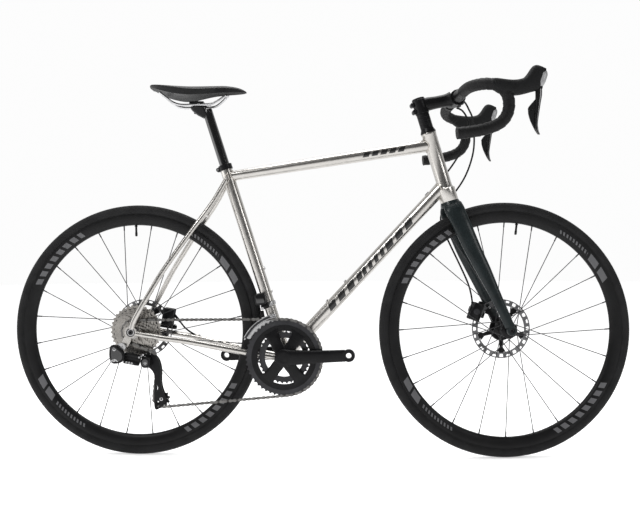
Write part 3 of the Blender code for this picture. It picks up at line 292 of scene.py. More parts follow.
def saddle_cover():
    """A black cover with a fine leather grain."""
    made = new_material("saddle_cover")
    creases = made.spread(made.cells("DISTANCE_TO_EDGE", 850), 0.0, 1.0, 0.0, 0.12)
    broad = made.noise(18)
    made.shade(Base_Color=made.vary(broad, (0.0065, 0.0068, 0.0072), (0.012, 0.0122, 0.0126)),
               Roughness=made.spread(broad, 0.4, 0.54), Specular_IOR_Level=0.2)
    made.bump(creases, 0.35, 0.00012)
    return made.owner


def tape_cover():
    """Bar tape: a soft cover with small round dimples."""
    made = new_material("bar_tape")
    dimple = made.spread(made.cells("F1", (420, 420, 1), uv=True), 0.0, 1.0, 0.1, 0.32)
    grain = made.noise(1600)
    made.shade(Base_Color=made.vary(made.noise(40, 2.0), (0.005, 0.005, 0.0053), (0.0095, 0.0095, 0.01)),
               Roughness=made.spread(grain, 0.5, 0.66), Specular_IOR_Level=0.18)
    made.bump(made.math("MULTIPLY_ADD", grain, 0.15, dimple), 0.4, 0.00025)
    return made.owner


def disc_steel():
    """A brake disc's braking face, with fine rings from the pads."""
    made = new_material("disc_steel")
    rings = made.noise((1, 5200, 1), 4.0, 0.7, uv=True)
    tone = made.vary(rings, (0.14, 0.14, 0.145), (0.27, 0.27, 0.275))
    tone = made.mix(made.spread(made.noise(60, 2.0), 0.0, 0.25), tone, (0.11, 0.11, 0.115))
    made.shade(Base_Color=tone, Roughness=made.spread(rings, 0.22, 0.36), Metallic=1.0)
    made.bump(rings, 0.25, 0.00002)
    return made.owner


# printed bars along a tube: first, last, pitch, width and half height, in metres
DOWN_TUBE_BARS = (
    (0.175, 0.301, 0.036, 0.024, 0.0088), (0.305, 0.39, 0.023, 0.013, 0.0088),
    (0.396, 0.507, 0.037, 0.0255, 0.0088),
)
TOP_TUBE_BARS = ((0.369, 0.484, 0.0235, 0.0165, 0.0062),)
RIM_GIRTH = 2 * pi * 0.313
# printed bars round a rim: first angle in degrees, then length, pitch, width and the band's edges, in metres
RIM_BARS = (
    (206, 0.195, 0.026, 0.0165, 0.009, 0.024), (30, 0.195, 0.026, 0.0165, 0.009, 0.024),
    (321, 0.08, 0.045, 0.035, 0.007, 0.024), (143, 0.072, 0.04, 0.032, 0.007, 0.024),
    (301, 0.1, 0.011, 0.0055, 0.012, 0.0205), (121, 0.11, 0.011, 0.0055, 0.012, 0.0205),
)

MATERIALS = {
    "tyre": tyre_rubber(),
    "rim": rim_carbon(),
    "saddle": saddle_cover(),
    "tape": tape_cover(),
    "disc": disc_steel(),
    "titanium": titanium("brushed_titanium"),
    "down_tube": titanium("brushed_titanium_down_tube", DOWN_TUBE[0], DOWN_WAY, DOWN_TUBE_BARS),
    "top_tube": titanium("brushed_titanium_top_tube", TOP_TUBE[0], TOP_WAY, TOP_TUBE_BARS),
    "weld": surface("weld_bead", (0.5, 0.47, 0.43), (0.28, 0.42), 1.0, 700, 0.00005, 0.2),
    "black": surface("satin_black_metal", (0.006, 0.006, 0.0066), (0.26, 0.4), 0.0, 900, 0.00002, 0.25,
                     wear=(0.012, 0.012, 0.013), shine=0.16),
    "gloss_black": surface("gloss_black", (0.004, 0.004, 0.0045), (0.12, 0.2), 0.0, 500, 0.00001, 0.2, coat=0.6),
    "plastic": surface("black_plastic", (0.0065, 0.0065, 0.007), (0.36, 0.5), 0.0, 1500, 0.00005, shine=0.18),
    "rubber": surface("hood_rubber", (0.0085, 0.0087, 0.009), (0.55, 0.72), 0.0, 1300, 0.00008, shine=0.15),
    "carbon": surface("carbon_fork", (0.0105, 0.015, 0.016), (0.27, 0.38), 0.0, (420, 420, 90), 0.00002, 0.22,
                      coat=0.08, shine=0.22),
    "silver": surface("satin_aluminium", (0.5, 0.5, 0.505), (0.24, 0.38), 1.0, 700, 0.00002, 0.14),
    "cog": surface("nickel_steel", (0.31, 0.295, 0.275), (0.2, 0.34), 1.0, 900, 0.00002, 0.22),
    "chain": surface("chain_steel", (0.065, 0.062, 0.06), (0.26, 0.42), 1.0, 1500, 0.00003, 0.3),
    "link": surface("outer_link_steel", (0.15, 0.147, 0.142), (0.24, 0.38), 1.0, 1500, 0.00003, 0.25),
    "spoke": surface("black_steel", (0.03, 0.03, 0.032), (0.3, 0.44), 0.3, 2000, 0.00001, 0.2, shine=0.3),
    "grey": surface("dark_grey_metal", (0.03, 0.03, 0.033), (0.28, 0.42), 0.6, 900, 0.00002, 0.25),
    "light_grey": surface("light_grey_cover", (0.3, 0.3, 0.305), (0.3, 0.42), 0.2, 900, 0.00002, 0.1),
}


# ---------------------------------------------------------------- shapes


class Shape:
    """Faces collected into one mesh. Each face corner has a place in metres: along the piece and round it."""

    def __init__(self):
        self.bm = bmesh.new()
        self.uv = self.bm.loops.layers.uv.new("flow")
        self.looks = []
        self.look = 0

    def use(self, name):
        """The faces that follow are made of this material."""
        if name not in self.looks:
            self.looks.append(name)
        self.look = self.looks.index(name)
        return self

    def face(self, corners, places=None):
        try:
            made = self.bm.faces.new(corners)
        except ValueError:
            return
        made.material_index = self.look
        made.smooth = True
        for loop, place in zip(made.loops, places or [(c.co.x, c.co.z) for c in corners]):
            loop[self.uv].uv = place

    def skin(self, rings, closed=False):
        """A surface through rings of points. Rings hold the same number of points."""
        rows = [[self.bm.verts.new(point) for point in ring] for ring in rings]
        count = len(rows[0])
        lengths = [0.0]
        for a, b in zip(rings, rings[1:]):
            lengths.append(lengths[-1] + (sum(b, Vector()) / count - sum(a, Vector()) / count).length)
        girth = [0.0]
        widest = max(rings, key=lambda ring: (ring[0] - ring[count // 2]).length)
        for i in range(count):
            girth.append(girth[-1] + (widest[(i + 1) % count] - widest[i]).length)
        pairs = list(zip(range(len(rows)), range(1, len(rows))))
        if closed:
            pairs.append((len(rows) - 1, 0))
            lengths.append(lengths[-1] + (rings[0][0] - rings[-1][0]).length)
        for a, b in pairs:
            end = lengths[b] if b else lengths[-1]
            for i in range(count):
                j = (i + 1) % count
                self.face(
                    (rows[a][i], rows[a][j], rows[b][j], rows[b][i]),
                    ((lengths[a], girth[i]), (lengths[a], girth[i + 1]), (end, girth[i + 1]), (end, girth[i])),
                )
        if not closed:
            self.face(list(reversed(rows[0])))
            self.face(rows[-1])
        return self

    def lathe(self, profile, place, axis=LEFT, steps=48):
        """profile holds (radius, height) points, and is turned round the axis into a closed hoop."""
        spin = Vector(axis).normalized()
        side = spin.orthogonal().normalized()
        if abs(spin.y) > 0.9:
            side = Vector((1, 0, 0))
        other = spin.cross(side)
        lengths = [0.0]
        for (r0, h0), (r1, h1) in zip(profile, profile[1:] + profile[:1]):
            lengths.append(lengths[-1] + hypot(r1 - r0, h1 - h0))
        middle = lengths[len(profile) // 2] if len(profile) % 2 else (lengths[-2] / 2)
        widest = max(r for r, _ in profile)
        rows = []
        for k in range(steps):
            angle = 2 * pi * k / steps
            out = side * cos(angle) + other * sin(angle)
            rows.append([self.bm.verts.new(Vector(place) + out * r + spin * h) for r, h in profile])
        count = len(profile)
        for k in range(steps):
            n = (k + 1) % steps
            u0, u1 = widest * 2 * pi * k / steps, widest * 2 * pi * (k + 1) / steps
            for i in range(count):
                j = (i + 1) % count
                v0, v1 = lengths[i] - middle, lengths[i + 1] - middle
                self.face((rows[k][i], rows[k][j], rows[n][j], rows[n][i]), ((u0, v0), (u0, v1), (u1, v1), (u1, v0)))
        return self

    def tube(self, points, radii, sides=16):
        """A round tube along points, whose section doesn't twist."""
        points = [Vector(point[:3]) for point in points]
        if not hasattr(radii, "__len__"):
            radii = [radii] * len(points)
        return self.skin([around(*frame, radius, sides) for frame, radius in zip(frames(points), radii)])

    def rod(self, start, end, radius, sides=20, bevel=0.0004):
        """A round bar with softened ends."""
        start, end = Vector(start), Vector(end)
        way = (end - start).normalized()
        bevel = min(bevel, radius * 0.4, (end - start).length * 0.3)
        points = [start, start + way * bevel, end - way * bevel, end]
        return self.tube(points, [radius - bevel, radius, radius, radius - bevel], sides)

    def slab(self, outline, low, high, bevel=0.0003):
        """A flat piece between two depths, with softened edges. outline holds (x, z) points."""
        inner = offset_outline(outline, -bevel)
        rings = []
        for edge, level in ((inner, low), (outline, low + bevel), (outline, high - bevel), (inner, high)):
            rings.append([Vector((x, level, z)) for x, z in edge])
        return self.skin(rings)

    def hoop_slab(self, outer, inner, low, high):
        """A flat ring between an outer and an inner outline with the same number of points."""
        rings = []
        for edge, level in ((outer, low), (outer, high), (inner, high), (inner, low)):
            rings.append([Vector((x, level, z)) for x, z in edge])
        return self.skin(rings, closed=True)


def around(place, way, across, radius, sides):
    other = way.cross(across)
    return [
        place + (across * cos(2 * pi * i / sides) + other * sin(2 * pi * i / sides)) * radius
        for i in range(sides)
    ]


def frames(points):
    """(place, direction, sideways direction) at each point, carried along without twist."""
    ways = []
    for i in range(len(points)):
        before, after = points[max(i - 1, 0)], points[min(i + 1, len(points) - 1)]
        ways.append((after - before).normalized())
    across = ways[0].orthogonal().normalized()
    found = []
    for place, way in zip(points, ways):
        across = (across - way * across.dot(way)).normalized()
        found.append((place, way, across))
    return found


def smooth(points, per=6):
    """A curve through points, each a tuple of numbers, with per steps between them."""
    found = []
    last = len(points) - 1
    for i in range(last):
        p0, p1, p2, p3 = (points[max(i - 1, 0)], points[i], points[i + 1], points[min(i + 2, last)])
        for k in range(per):
            t = k / per
            found.append(tuple(
                0.5 * (2 * b + (c - a) * t + (2 * a - 5 * b + 4 * c - d) * t * t + (3 * b - a - 3 * c + d) * t ** 3)
                for a, b, c, d in zip(p0, p1, p2, p3)
            ))
    found.append(tuple(points[-1]))
    return found


def arc(centre, radius, start, end, count):
    """(x, z) points on an arc, angles in degrees."""
    return [
        (centre[0] + radius * cos(radians(start + (end - start) * i / (count - 1))),
         centre[1] + radius * sin(radians(start + (end - start) * i / (count - 1))))
        for i in range(count)
    ]


def circle(centre, radius, count=24, start=0.0):
    return arc(centre, radius, start, start + 360 - 360 / count, count)


def rounded(outline, rounds=2):
    """The outline with its corners cut, again and again, until it is smooth."""
    for _ in range(rounds):
        cut = []
        for (x0, z0), (x1, z1) in zip(outline, outline[1:] + outline[:1]):
            cut.append((x0 * 0.75 + x1 * 0.25, z0 * 0.75 + z1 * 0.25))
            cut.append((x0 * 0.25 + x1 * 0.75, z0 * 0.25 + z1 * 0.75))
        outline = cut
    return outline


def offset_outline(outline, distance):
    """The outline moved out by distance, or in if it is negative."""
    area = sum(x0 * z1 - x1 * z0 for (x0, z0), (x1, z1) in zip(outline, outline[1:] + outline[:1]))
    turn = 1 if area > 0 else -1
    found = []
    count = len(outline)
    for i, (x, z) in enumerate(outline):
        before, after = outline[i - 1], outline[(i + 1) % count]
        dx, dz = after[0] - before[0], after[1] - before[1]
        length = hypot(dx, dz) or 1.0
        found.append((x + turn * distance * dz / length, z - turn * distance * dx / length))
    return found


def oval(centre, along, across, half_along, half_across, count=24, power=1.0):
    """Points round an ellipse; with power under 1 it is squarer."""
    found = []
    for i in range(count):
        angle = 2 * pi * i / count
        c, s = cos(angle), sin(angle)
        c = copysign(abs(c) ** power, c)
        s = copysign(abs(s) ** power, s)
        found.append(Vector(centre) + Vector(along) * half_along * c + Vector(across) * half_across * s)
    return found


def pitch_radius(teeth):
    return CHAIN_PITCH / (2 * sin(pi / teeth))


def piece(name, shape, body, replaces=(), steered=False, sharp=34):
    """Makes the object, puts it on its body, if it has one, and hides the CAD nodes it stands for."""
    bmesh.ops.recalc_face_normals(shape.bm, faces=shape.bm.faces)
    mesh = bpy.data.meshes.new(name)
    shape.bm.to_mesh(mesh)
    shape.bm.free()
    if steered:
        mesh.transform(TO_STEERED)
    obj = bpy.data.objects.new(name, mesh)
    bpy.context.scene.collection.objects.link(obj)
    for look in shape.looks:
        mesh.materials.append(MATERIALS[look])
    mesh.set_sharp_from_angle(angle=radians(sharp))
    if body:
        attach(obj, body)
    if replaces:
        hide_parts(*replaces)
    return obj


# ---------------------------------------------------------------- frame


def weld(shape, start, way, radius, host_point, host_way, host_radius, bead=0.0017):
    """A weld bead where a tube meets its host: small ripples along the line where their surfaces cross."""
    shape.use("weld")
    way, host_way = Vector(way).normalized(), Vector(host_way).normalized()
    across = way.orthogonal().normalized()
    other = way.cross(across)
    line = []
    count = 180
    for i in range(count):
        angle = 2 * pi * i / count
        base = Vector(start) + (across * cos(angle) + other * sin(angle)) * radius
        # the distance along the tube at which this line of its wall reaches the host's wall
        gap = base - Vector(host_point)
        d = way - host_way * way.dot(host_way)
        g = gap - host_way * gap.dot(host_way)
        a, b, c = d.dot(d), 2 * d.dot(g), g.dot(g) - host_radius ** 2
        root = max(b * b - 4 * a * c, 0.0)
        line.append(base + way * ((-b + sqrt(root)) / (2 * a)))
    rings = []
    for i in range(count):
        run = (line[(i + 1) % count] - line[i - 1]).normalized()
        side = run.cross(way).normalized()
        up = side.cross(run)
        size = bead * (1.0 + 0.16 * sin(2 * pi * i * 60 / count))
        rings.append([
            line[i] + (side * cos(2 * pi * k / 6) + up * sin(2 * pi * k / 6)) * size
            for k in range(6)
        ])
    shape.skin(rings, closed=True)


def straight_tube(start, end, radius, radius_end=None, look="titanium"):
    rings = 12
    points = [Vector(start).lerp(Vector(end), i / rings) for i in range(rings + 1)]
    radii = [radius + ((radius_end or radius) - radius) * i / rings for i in range(rings + 1)]
    return Shape().use(look).tube(points, radii, 48)


CHAINSTAY_POINTS = (
    (0.0125, 0.0747, 0.335, 0.006), (0.05, 0.073, 0.3285, 0.0068), (0.084, 0.069, 0.322, 0.0072),
    (0.13, 0.062, 0.3155, 0.0075), (0.17, 0.0555, 0.308, 0.0078), (0.235, 0.044, 0.294, 0.008),
    (0.29, 0.0345, 0.2825, 0.0082), (0.331, 0.0285, 0.274, 0.0082), (0.39, 0.024, 0.264, 0.0082),
)
SEATSTAY_POINTS = (
    (0.001, 0.0752, 0.348), (0.008, 0.0752, 0.368), (0.0235, 0.0745, 0.397), (0.048, 0.07, 0.44),
    (0.078, 0.06, 0.492), (0.12, 0.047, 0.555), (0.16, 0.036, 0.612), (0.188, 0.029, 0.65),
    (0.2155, 0.023, 0.69), (0.244, 0.017, 0.74),
)


def bolt(shape, place, axis, radius, height=0.0022, look="silver"):
    """A socket-head bolt: a round head with a recess."""
    way = Vector(axis).normalized()
    shape.use(look)
    rim, hollow = radius * 0.88, radius * 0.55
    across = way.orthogonal().normalized()
    rows = [(0.0, radius), (height * 0.8, radius), (height, rim), (height, hollow), (height * 0.35, hollow * 0.95)]
    shape.skin([around(Vector(place) + way * h, way, across, r, 18) for h, r in rows])


def build_frame():
    head = Shape().use("titanium")
    length = HEAD_LENGTH
    head.lathe(
        [(0.0175, length), (0.0193, length), (0.0199, length - 0.0008), (0.0199, length - 0.006),
         (0.0194, length - 0.0068), (0.0194, 0.04), (0.0205, 0.0365), (0.0243, 0.0335), (0.0244, 0.0006),
         (0.024, 0.0), (0.0205, 0.0), (0.0175, 0.038)],
        HEAD_BOTTOM, STEER_UP, 64,
    )
    piece("head_tube_shell", head, "frame", ["head_tube"], sharp=50)
    welds = Shape()
    weld(welds, TOP_TUBE[1], -TOP_WAY, 0.0165, HEAD_BOTTOM, STEER_UP, 0.0194)
    weld(welds, TOP_TUBE[0], TOP_WAY, 0.0137, BB, SEAT_UP, SEAT_TUBE_RADIUS)
    weld(welds, DOWN_TUBE[1], -DOWN_WAY, DOWN_TUBE_RADIUS, HEAD_BOTTOM, STEER_UP, 0.0215)
    weld(welds, BB, DOWN_WAY, DOWN_TUBE_RADIUS, BB, (0, 1, 0), 0.023)
    weld(welds, BB, SEAT_UP, SEAT_TUBE_RADIUS, BB, (0, 1, 0), 0.023)
    for side in (1, -1):
        weld(welds, Vector((0.39, side * 0.024, 0.264)), Vector((-0.059, side * 0.0045, 0.01)), 0.0082, BB,
             (0, 1, 0), 0.023, 0.0014)
        weld(welds, Vector((0.244, side * 0.017, 0.74)), Vector((-0.0285, side * 0.006, -0.05)), 0.007, BB,
             SEAT_UP, SEAT_TUBE_RADIUS, 0.0013)
    piece("weld_beads", welds, "frame", sharp=80)

    top = straight_tube(*TOP_TUBE, 0.0137, 0.0165, "top_tube")
    piece("top_tube_skin", top, "frame", ["top_tube"])
    down = straight_tube(*DOWN_TUBE, DOWN_TUBE_RADIUS, look="down_tube")
    piece("down_tube_skin", down, "frame", ["down_tube"])
    seat = straight_tube(BB, SEAT_TOP, SEAT_TUBE_RADIUS)
    piece("seat_tube_skin", seat, "frame", ["seat_tube"])
    shell = Shape().use("titanium")
    shell.lathe([(0.0203, 0.034), (0.0226, 0.034), (0.023, 0.0336), (0.023, -0.0336), (0.0226, -0.034),
                 (0.0203, -0.034)], BB, steps=64)
    piece("bottom_bracket_barrel", shell, "frame", ["bottom_bracket_shell"])
    unit = Shape().use("black")
    for side in (1, -1):
        unit.lathe([(0.0124, side * 0.0415), (0.0206, side * 0.0415), (0.022, side * 0.0405),
                    (0.022, side * 0.0348), (0.0198, side * 0.0343), (0.0124, side * 0.0343)], BB, steps=48)
    piece("bottom_bracket_cups", unit, "frame", ["bottom_bracket_unit"])

    for side, name in ((1, "left"), (-1, "right")):
        stay = Shape().use("titanium")
        route = smooth([(x, side * y, z, r) for x, y, z, r in CHAINSTAY_POINTS], 6)
        stay.tube(route, [p[3] for p in route], 28)
        build_dropout(stay, side)
        piece(f"{name}_chainstay_tube", stay, "frame", [f"{name}_chainstay"])
        seatstay = Shape().use("titanium")
        route = smooth([(x, side * y, z) for x, y, z in SEATSTAY_POINTS], 6)
        seatstay.tube(route, 0.007, 28)
        if side > 0:
            seatstay.tube([(0.1865, 0.027 - 0.0485 * i / 8, 0.648) for i in range(9)], 0.0045, 20)
        piece(f"{name}_seatstay_tube", seatstay, "frame", [f"{name}_seatstay"])

    collar = Shape().use("black")
    collar.lathe([(0.0142, 0.0015), (0.018, 0.0015), (0.0186, 0.0009), (0.0186, -0.0124), (0.018, -0.013),
                  (0.0162, -0.013)], SEAT_TOP, SEAT_UP, 48)
    rear = SEAT_TOP - SEAT_UP * 0.0062 - SEAT_FRONT * 0.0205
    for side in (1, -1):
        rings = [oval(rear + LEFT * side * depth, SEAT_FRONT, SEAT_UP, 0.005 * size, 0.0055 * size, 20, 0.8)
                 for depth, size in ((0.0008, 0.9), (0.0014, 1.0), (0.0064, 1.0), (0.0072, 0.85))]
        collar.skin(rings)
    bolt(collar, rear + LEFT * -0.0072, (0, -1, 0), 0.003)
    piece("seat_clamp_ring", collar, "frame", ["seat_collar"])

    bosses = Shape()
    for base, along, out, radius, places in (
        (BB, DOWN_WAY, Vector((-DOWN_WAY.z, 0, DOWN_WAY.x)), DOWN_TUBE_RADIUS, ((0.515, 0, 0.415), (0.563, 0, 0.468))),
        (BB, SEAT_UP, SEAT_FRONT, SEAT_TUBE_RADIUS, ((0.345, 0, 0.505), (0.364, 0, 0.443))),
    ):
        for place in places:
            foot = base + along * (Vector(place) - base).dot(along) + out * radius
            bosses.use("titanium").rod(foot - out * 0.0015, foot + out * 0.0012, 0.005, 20)
            bolt(bosses, foot + out * 0.0011, out, 0.004, 0.0024)
    piece("bottle_bosses", bosses, "frame")


def build_dropout(shape, side):
    """The round boss that holds the axle, and on the right the hanger for the derailleur."""
    for look, inner, outer, face in (("titanium", 0.0112, 0.0165, 0.0783), ("grey", 0.0092, 0.0115, 0.0772),
                                     ("silver", 0.0063, 0.0095, 0.0783)):
        shape.use(look).lathe([(inner, side * 0.0713), (outer, side * 0.0713), (outer, side * (face - 0.0007)),
                               (outer - 0.0007, side * face), (inner + 0.0005, side * face),
                               (inner, side * (face - 0.0005))], REAR_AXLE, steps=56)
    if side < 0:
        hanger = rounded([(0.004, 0.325), (-0.014, 0.333), (-0.027, 0.309), (-0.022, 0.297),
                          (-0.008, 0.299)], 2)
        shape.use("titanium").slab(hanger, -0.0772, -0.0715)


# ---------------------------------------------------------------- saddle and post


def build_seat():
    rail_z = 0.943
    clamp_x = 0.168
    post = Shape().use("black")
    bottom, head = SEAT_TOP - SEAT_UP * 0.12, SEAT_TOP + SEAT_UP * 0.156
    post.use("gloss_black")
    post.tube([bottom.lerp(head, i / 12) for i in range(13)] + [head + SEAT_UP * 0.0016],
              [0.0136] * 13 + [0.0126], 40)
    post.use("black")
    # the head carries the rails' cradle, behind the post's top
    sections = [
        (Vector((0.19, 0, 0.915)), Vector((1, 0, 0.55)).normalized(), 0.01, 0.012, 0.8),
        (Vector((0.18, 0, 0.9235)), Vector((1, 0, 0.35)).normalized(), 0.015, 0.017, 0.75),
        (Vector((0.1715, 0, 0.931)), Vector((1, 0, 0.1)).normalized(), 0.0185, 0.022, 0.65),
        (Vector((clamp_x, 0, rail_z - 0.006)), Vector((1, 0, 0)), 0.02, 0.0255, 0.55),
        (Vector((clamp_x, 0, rail_z - 0.0044)), Vector((1, 0, 0)), 0.0196, 0.025, 0.55),
    ]
    post.skin([oval(place, along, LEFT, a, b, 32, power) for place, along, a, b, power in sections])
    post.use("grey").rod((0.1585, 0, 0.937), (0.161, 0, 0.9225), 0.0042, 18, 0.001)
    piece("seatpost_tube", post, "seat", ["seatpost"])

    clamp = Shape().use("black")
    clamp.skin([oval((clamp_x, 0, z), (1, 0, 0), LEFT, 0.019 * size, 0.0268 * size, 32, 0.45)
                for z, size in ((rail_z + 0.0045, 0.97), (rail_z + 0.0053, 1.0), (rail_z + 0.0078, 1.0),
                                (rail_z + 0.009, 0.94))])
    for side in (1, -1):
        clamp.tube([(clamp_x + 0.019 * (i / 6 - 0.5) * 2, side * 0.022, rail_z + 0.0046) for i in range(7)],
                   0.0046, 16)
    bolt(clamp, (clamp_x, 0, rail_z + 0.0086), (0, 0, 1), 0.0045, 0.003, "grey")
    clamp.use("grey").rod((clamp_x, 0, 0.9255), (clamp_x, 0, rail_z + 0.0086), 0.0028)
    piece("saddle_clamp_plates", clamp, "seat", ["saddle_clamp"])

    half = [(0.072, 0.043, 0.974), (0.086, 0.037, 0.963), (0.105, 0.027, 0.949), (0.128, 0.022, rail_z),
            (0.167, 0.022, rail_z + 0.0005), (0.206, 0.022, rail_z + 0.001), (0.225, 0.019, 0.953),
            (0.242, 0.013, 0.966), (0.248, 0.005, 0.969)]
    wire = half + [(x, -y, z) for x, y, z in reversed(half)]
    rails = Shape().use("silver")
    rails.tube(smooth(wire, 5), 0.0035, 20)
    piece("saddle_rail_wire", rails, "seat", ["saddle_rails"])
    build_saddle()


def build_saddle():
    # x, half width, top, side drop, thickness
    stations = (
        (0.0432, 0.016, 0.9915, 0.001, 0.003), (0.046, 0.034, 0.9938, 0.001, 0.0045),
        (0.054, 0.051, 0.995, 0.003, 0.008), (0.07, 0.064, 0.9955, 0.006, 0.012),
        (0.09, 0.0695, 0.995, 0.009, 0.015), (0.12, 0.068, 0.9936, 0.012, 0.017),
        (0.15, 0.055, 0.9934, 0.013, 0.017), (0.18, 0.0395, 0.9945, 0.012, 0.016),
        (0.21, 0.029, 0.9954, 0.01, 0.015), (0.24, 0.0235, 0.9954, 0.009, 0.014),
        (0.268, 0.0195, 0.992, 0.007, 0.0115), (0.285, 0.015, 0.9872, 0.005, 0.008),
        (0.2945, 0.0105, 0.9825, 0.003, 0.0045), (0.2988, 0.005, 0.9797, 0.001, 0.0022),
    )
    shape = Shape().use("saddle")
    rings = []
    for x, half_width, top, drop, thick in smooth(stations, 4):
        upper, lower = [], []
        groove = 0.0022 * max(0.0, 1 - ((x - 0.155) / 0.085) ** 4)
        for i in range(25):
            t = -1 + i / 12
            dip = groove * exp(-((half_width * t) / 0.0085) ** 2)
            upper.append(Vector((x, half_width * t, top - dip - drop * abs(t) ** 2.6)))
        for i in range(23):
            t = 0.985 - (i + 0.5) * 1.97 / 23
            lower.append(Vector((x, half_width * 0.955 * t, top - thick - (drop - 0.001) * abs(t) ** 1.8)))
        rings.append(upper + lower)
    shape.skin(rings)
    # a piped seam runs round the edge, where the cover meets the shell
    edge = [(x, half_width * 0.995, top - drop - 0.0012) for x, half_width, top, drop, _ in smooth(stations, 4)]
    for side in (1, -1):
        shape.tube([(x, side * (y - 0.0008), z) for x, y, z in edge], 0.0011, 8)
    saddle = piece("saddle_pad", shape, "seat", ["saddle"], sharp=60)


# ---------------------------------------------------------------- wheels


def build_wheel(prefix, centre, body, spoke_angle, valve_angle, left_flange, right_flange, hub_profile, rotor_y,
                steered):
    tyre = Shape().use("tyre")
    tyre.lathe(tyre_profile(), centre, steps=180)
    piece(f"{prefix}_tyre_casing", tyre, body, [f"{prefix}_tyre"], steered, sharp=40)

    rim = Shape().use("rim")
    rim.lathe(rim_profile(), centre, steps=180)
    valve_way = Vector((cos(valve_angle), 0, sin(valve_angle)))
    foot = centre + valve_way * (RIM_INNER_RADIUS + 0.001)
    rim.use("black")
    valve = [(0.0, 0.0032), (0.002, 0.0032), (0.0022, 0.0042), (0.0045, 0.0042), (0.0047, 0.0028), (0.02, 0.0028),
             (0.0204, 0.0033), (0.029, 0.0033), (0.031, 0.0022)]
    rim.skin([around(foot - valve_way * h, -valve_way, LEFT, r, 14) for h, r in valve])
    piece(f"{prefix}_rim_hoop", rim, body, [f"{prefix}_rim"], steered, sharp=40)

    hub = Shape().use("black")
    hub.lathe(hub_profile, centre, steps=56)
    piece(f"{prefix}_hub_shell", hub, body, [f"{prefix}_hub"], steered)
    for name, (flange_y, flange_radius), first in (
        ("left", left_flange, spoke_angle), ("right", right_flange, spoke_angle + radians(15)),
    ):
        spokes = Shape()
        build_spokes(spokes, centre, flange_y, flange_radius, first)
        piece(f"{prefix}_{name}_spoke_set", spokes, body, [f"{prefix}_{name}_spokes"], steered, sharp=45)
    build_rotor(prefix, centre, rotor_y, body, steered)


def tyre_profile():
    """(radius, y) round the casing, from one bead over the tread to the other, and back inside."""
    outer = [(0.3106, -0.0098), (0.3124, -0.0107)]
    for i in range(27):
        angle = radians(-130 + 260 * i / 26)
        size = 0.014 if abs(degrees(angle)) < 62 else 0.0136
        outer.append((0.3245 + size * cos(angle), size * sin(angle)))
    outer += [(0.3124, 0.0107), (0.3106, 0.0098)]
    inner = [(0.3125, 0.0078), (0.325, 0.0095), (0.332, 0.0), (0.325, -0.0095), (0.3125, -0.0078)]
    return outer + inner


def rim_profile():
    side = smooth([(0.313, 0.0126), (0.3085, 0.0127), (0.301, 0.0119), (0.294, 0.0102), (0.2885, 0.0074),
                   (0.2855, 0.004), (RIM_INNER_RADIUS, 0.0)], 3)
    outer = side + [(r, -y) for r, y in reversed(side[:-1])]
    return outer + [(0.313, -0.0119), (0.3085, -0.0104), (0.3005, -0.0072), (0.3005, 0.0072), (0.3085, 0.0104),
                    (0.313, 0.0119)]


def build_spokes(shape, centre, flange_y, flange_radius, first):
    hub_radius = flange_radius - 0.0012
    lean = radians(62)
    for i in range(12):
        turn = 1 if i % 2 == 0 else -1
        rim_angle = first + radians(30 * i)
        hub_angle = rim_angle + turn * lean
        level = flange_y + copysign(0.001, flange_y) * turn
        hub = centre + Vector((hub_radius * cos(hub_angle), level, hub_radius * sin(hub_angle)))
        out = Vector((cos(rim_angle), 0, sin(rim_angle)))
        rim = centre + out * (RIM_INNER_RADIUS + 0.002) + Vector((0, copysign(0.0028, flange_y), 0))
        way = (rim - hub).normalized()
        shape.use("spoke")
        points = [hub.lerp(rim, t) for t in (0, 0.03, 0.06, 0.5, 0.94, 1.0)]
        shape.tube(points, [0.0013, 0.0013, 0.0011, 0.0011, 0.0012, 0.0012], 8)
        shape.rod(hub - LEFT * 0.0028, hub + LEFT * 0.0028, 0.0015, 10)
        shape.use("grey")
        nipple = rim - way * 0.0145
        shape.tube([nipple, nipple + way * 0.0015, nipple + way * 0.0105, rim], [0.0012, 0.0018, 0.0018, 0.0022], 10)


def flat_plate(name, outlines, low, high):
    """A flat plate with holes: the first outline is its edge, and the others are the holes."""
    curve = bpy.data.curves.new(name, "CURVE")
    curve.dimensions = "2D"
    curve.fill_mode = "BOTH"
    curve.extrude = (high - low) / 2
    for outline in outlines:
        spline = curve.splines.new("POLY")
        spline.points.add(len(outline) - 1)
        spline.use_cyclic_u = True
        for point, (x, z) in zip(spline.points, outline):
            point.co = (x, z, 0, 1)
    obj = bpy.data.objects.new(name, curve)
    bpy.context.scene.collection.objects.link(obj)
    bpy.context.view_layer.update()
    graph = bpy.context.evaluated_depsgraph_get()
    mesh = bpy.data.meshes.new_from_object(obj.evaluated_get(graph))
    bpy.data.objects.remove(obj)
    mesh.transform(Matrix.Translation((0, (low + high) / 2, 0)) @ Matrix.Rotation(pi / 2, 4, "X"))
    return mesh


def add_plate(shape, outlines, low, high, centre=None):
    """Adds a plate with holes to a shape. Places round a centre are (round, outwards) in metres."""
    mesh = flat_plate("plate", outlines, low, high)
    before = len(shape.bm.faces)
    shape.bm.from_mesh(mesh)
    bpy.data.meshes.remove(mesh)
    shape.bm.faces.ensure_lookup_table()
    for face in shape.bm.faces[before:]:
        face.material_index = shape.look
        face.smooth = True
        for loop in face.loops:
            place = loop.vert.co
            if centre is None:
                loop[shape.uv].uv = (place.x, place.z)
            else:
                out = Vector((place.x - centre[0], place.z - centre[1]))
                loop[shape.uv].uv = (0.0, out.length)
    bmesh.ops.remove_doubles(shape.bm, verts=shape.bm.verts, dist=1e-6)


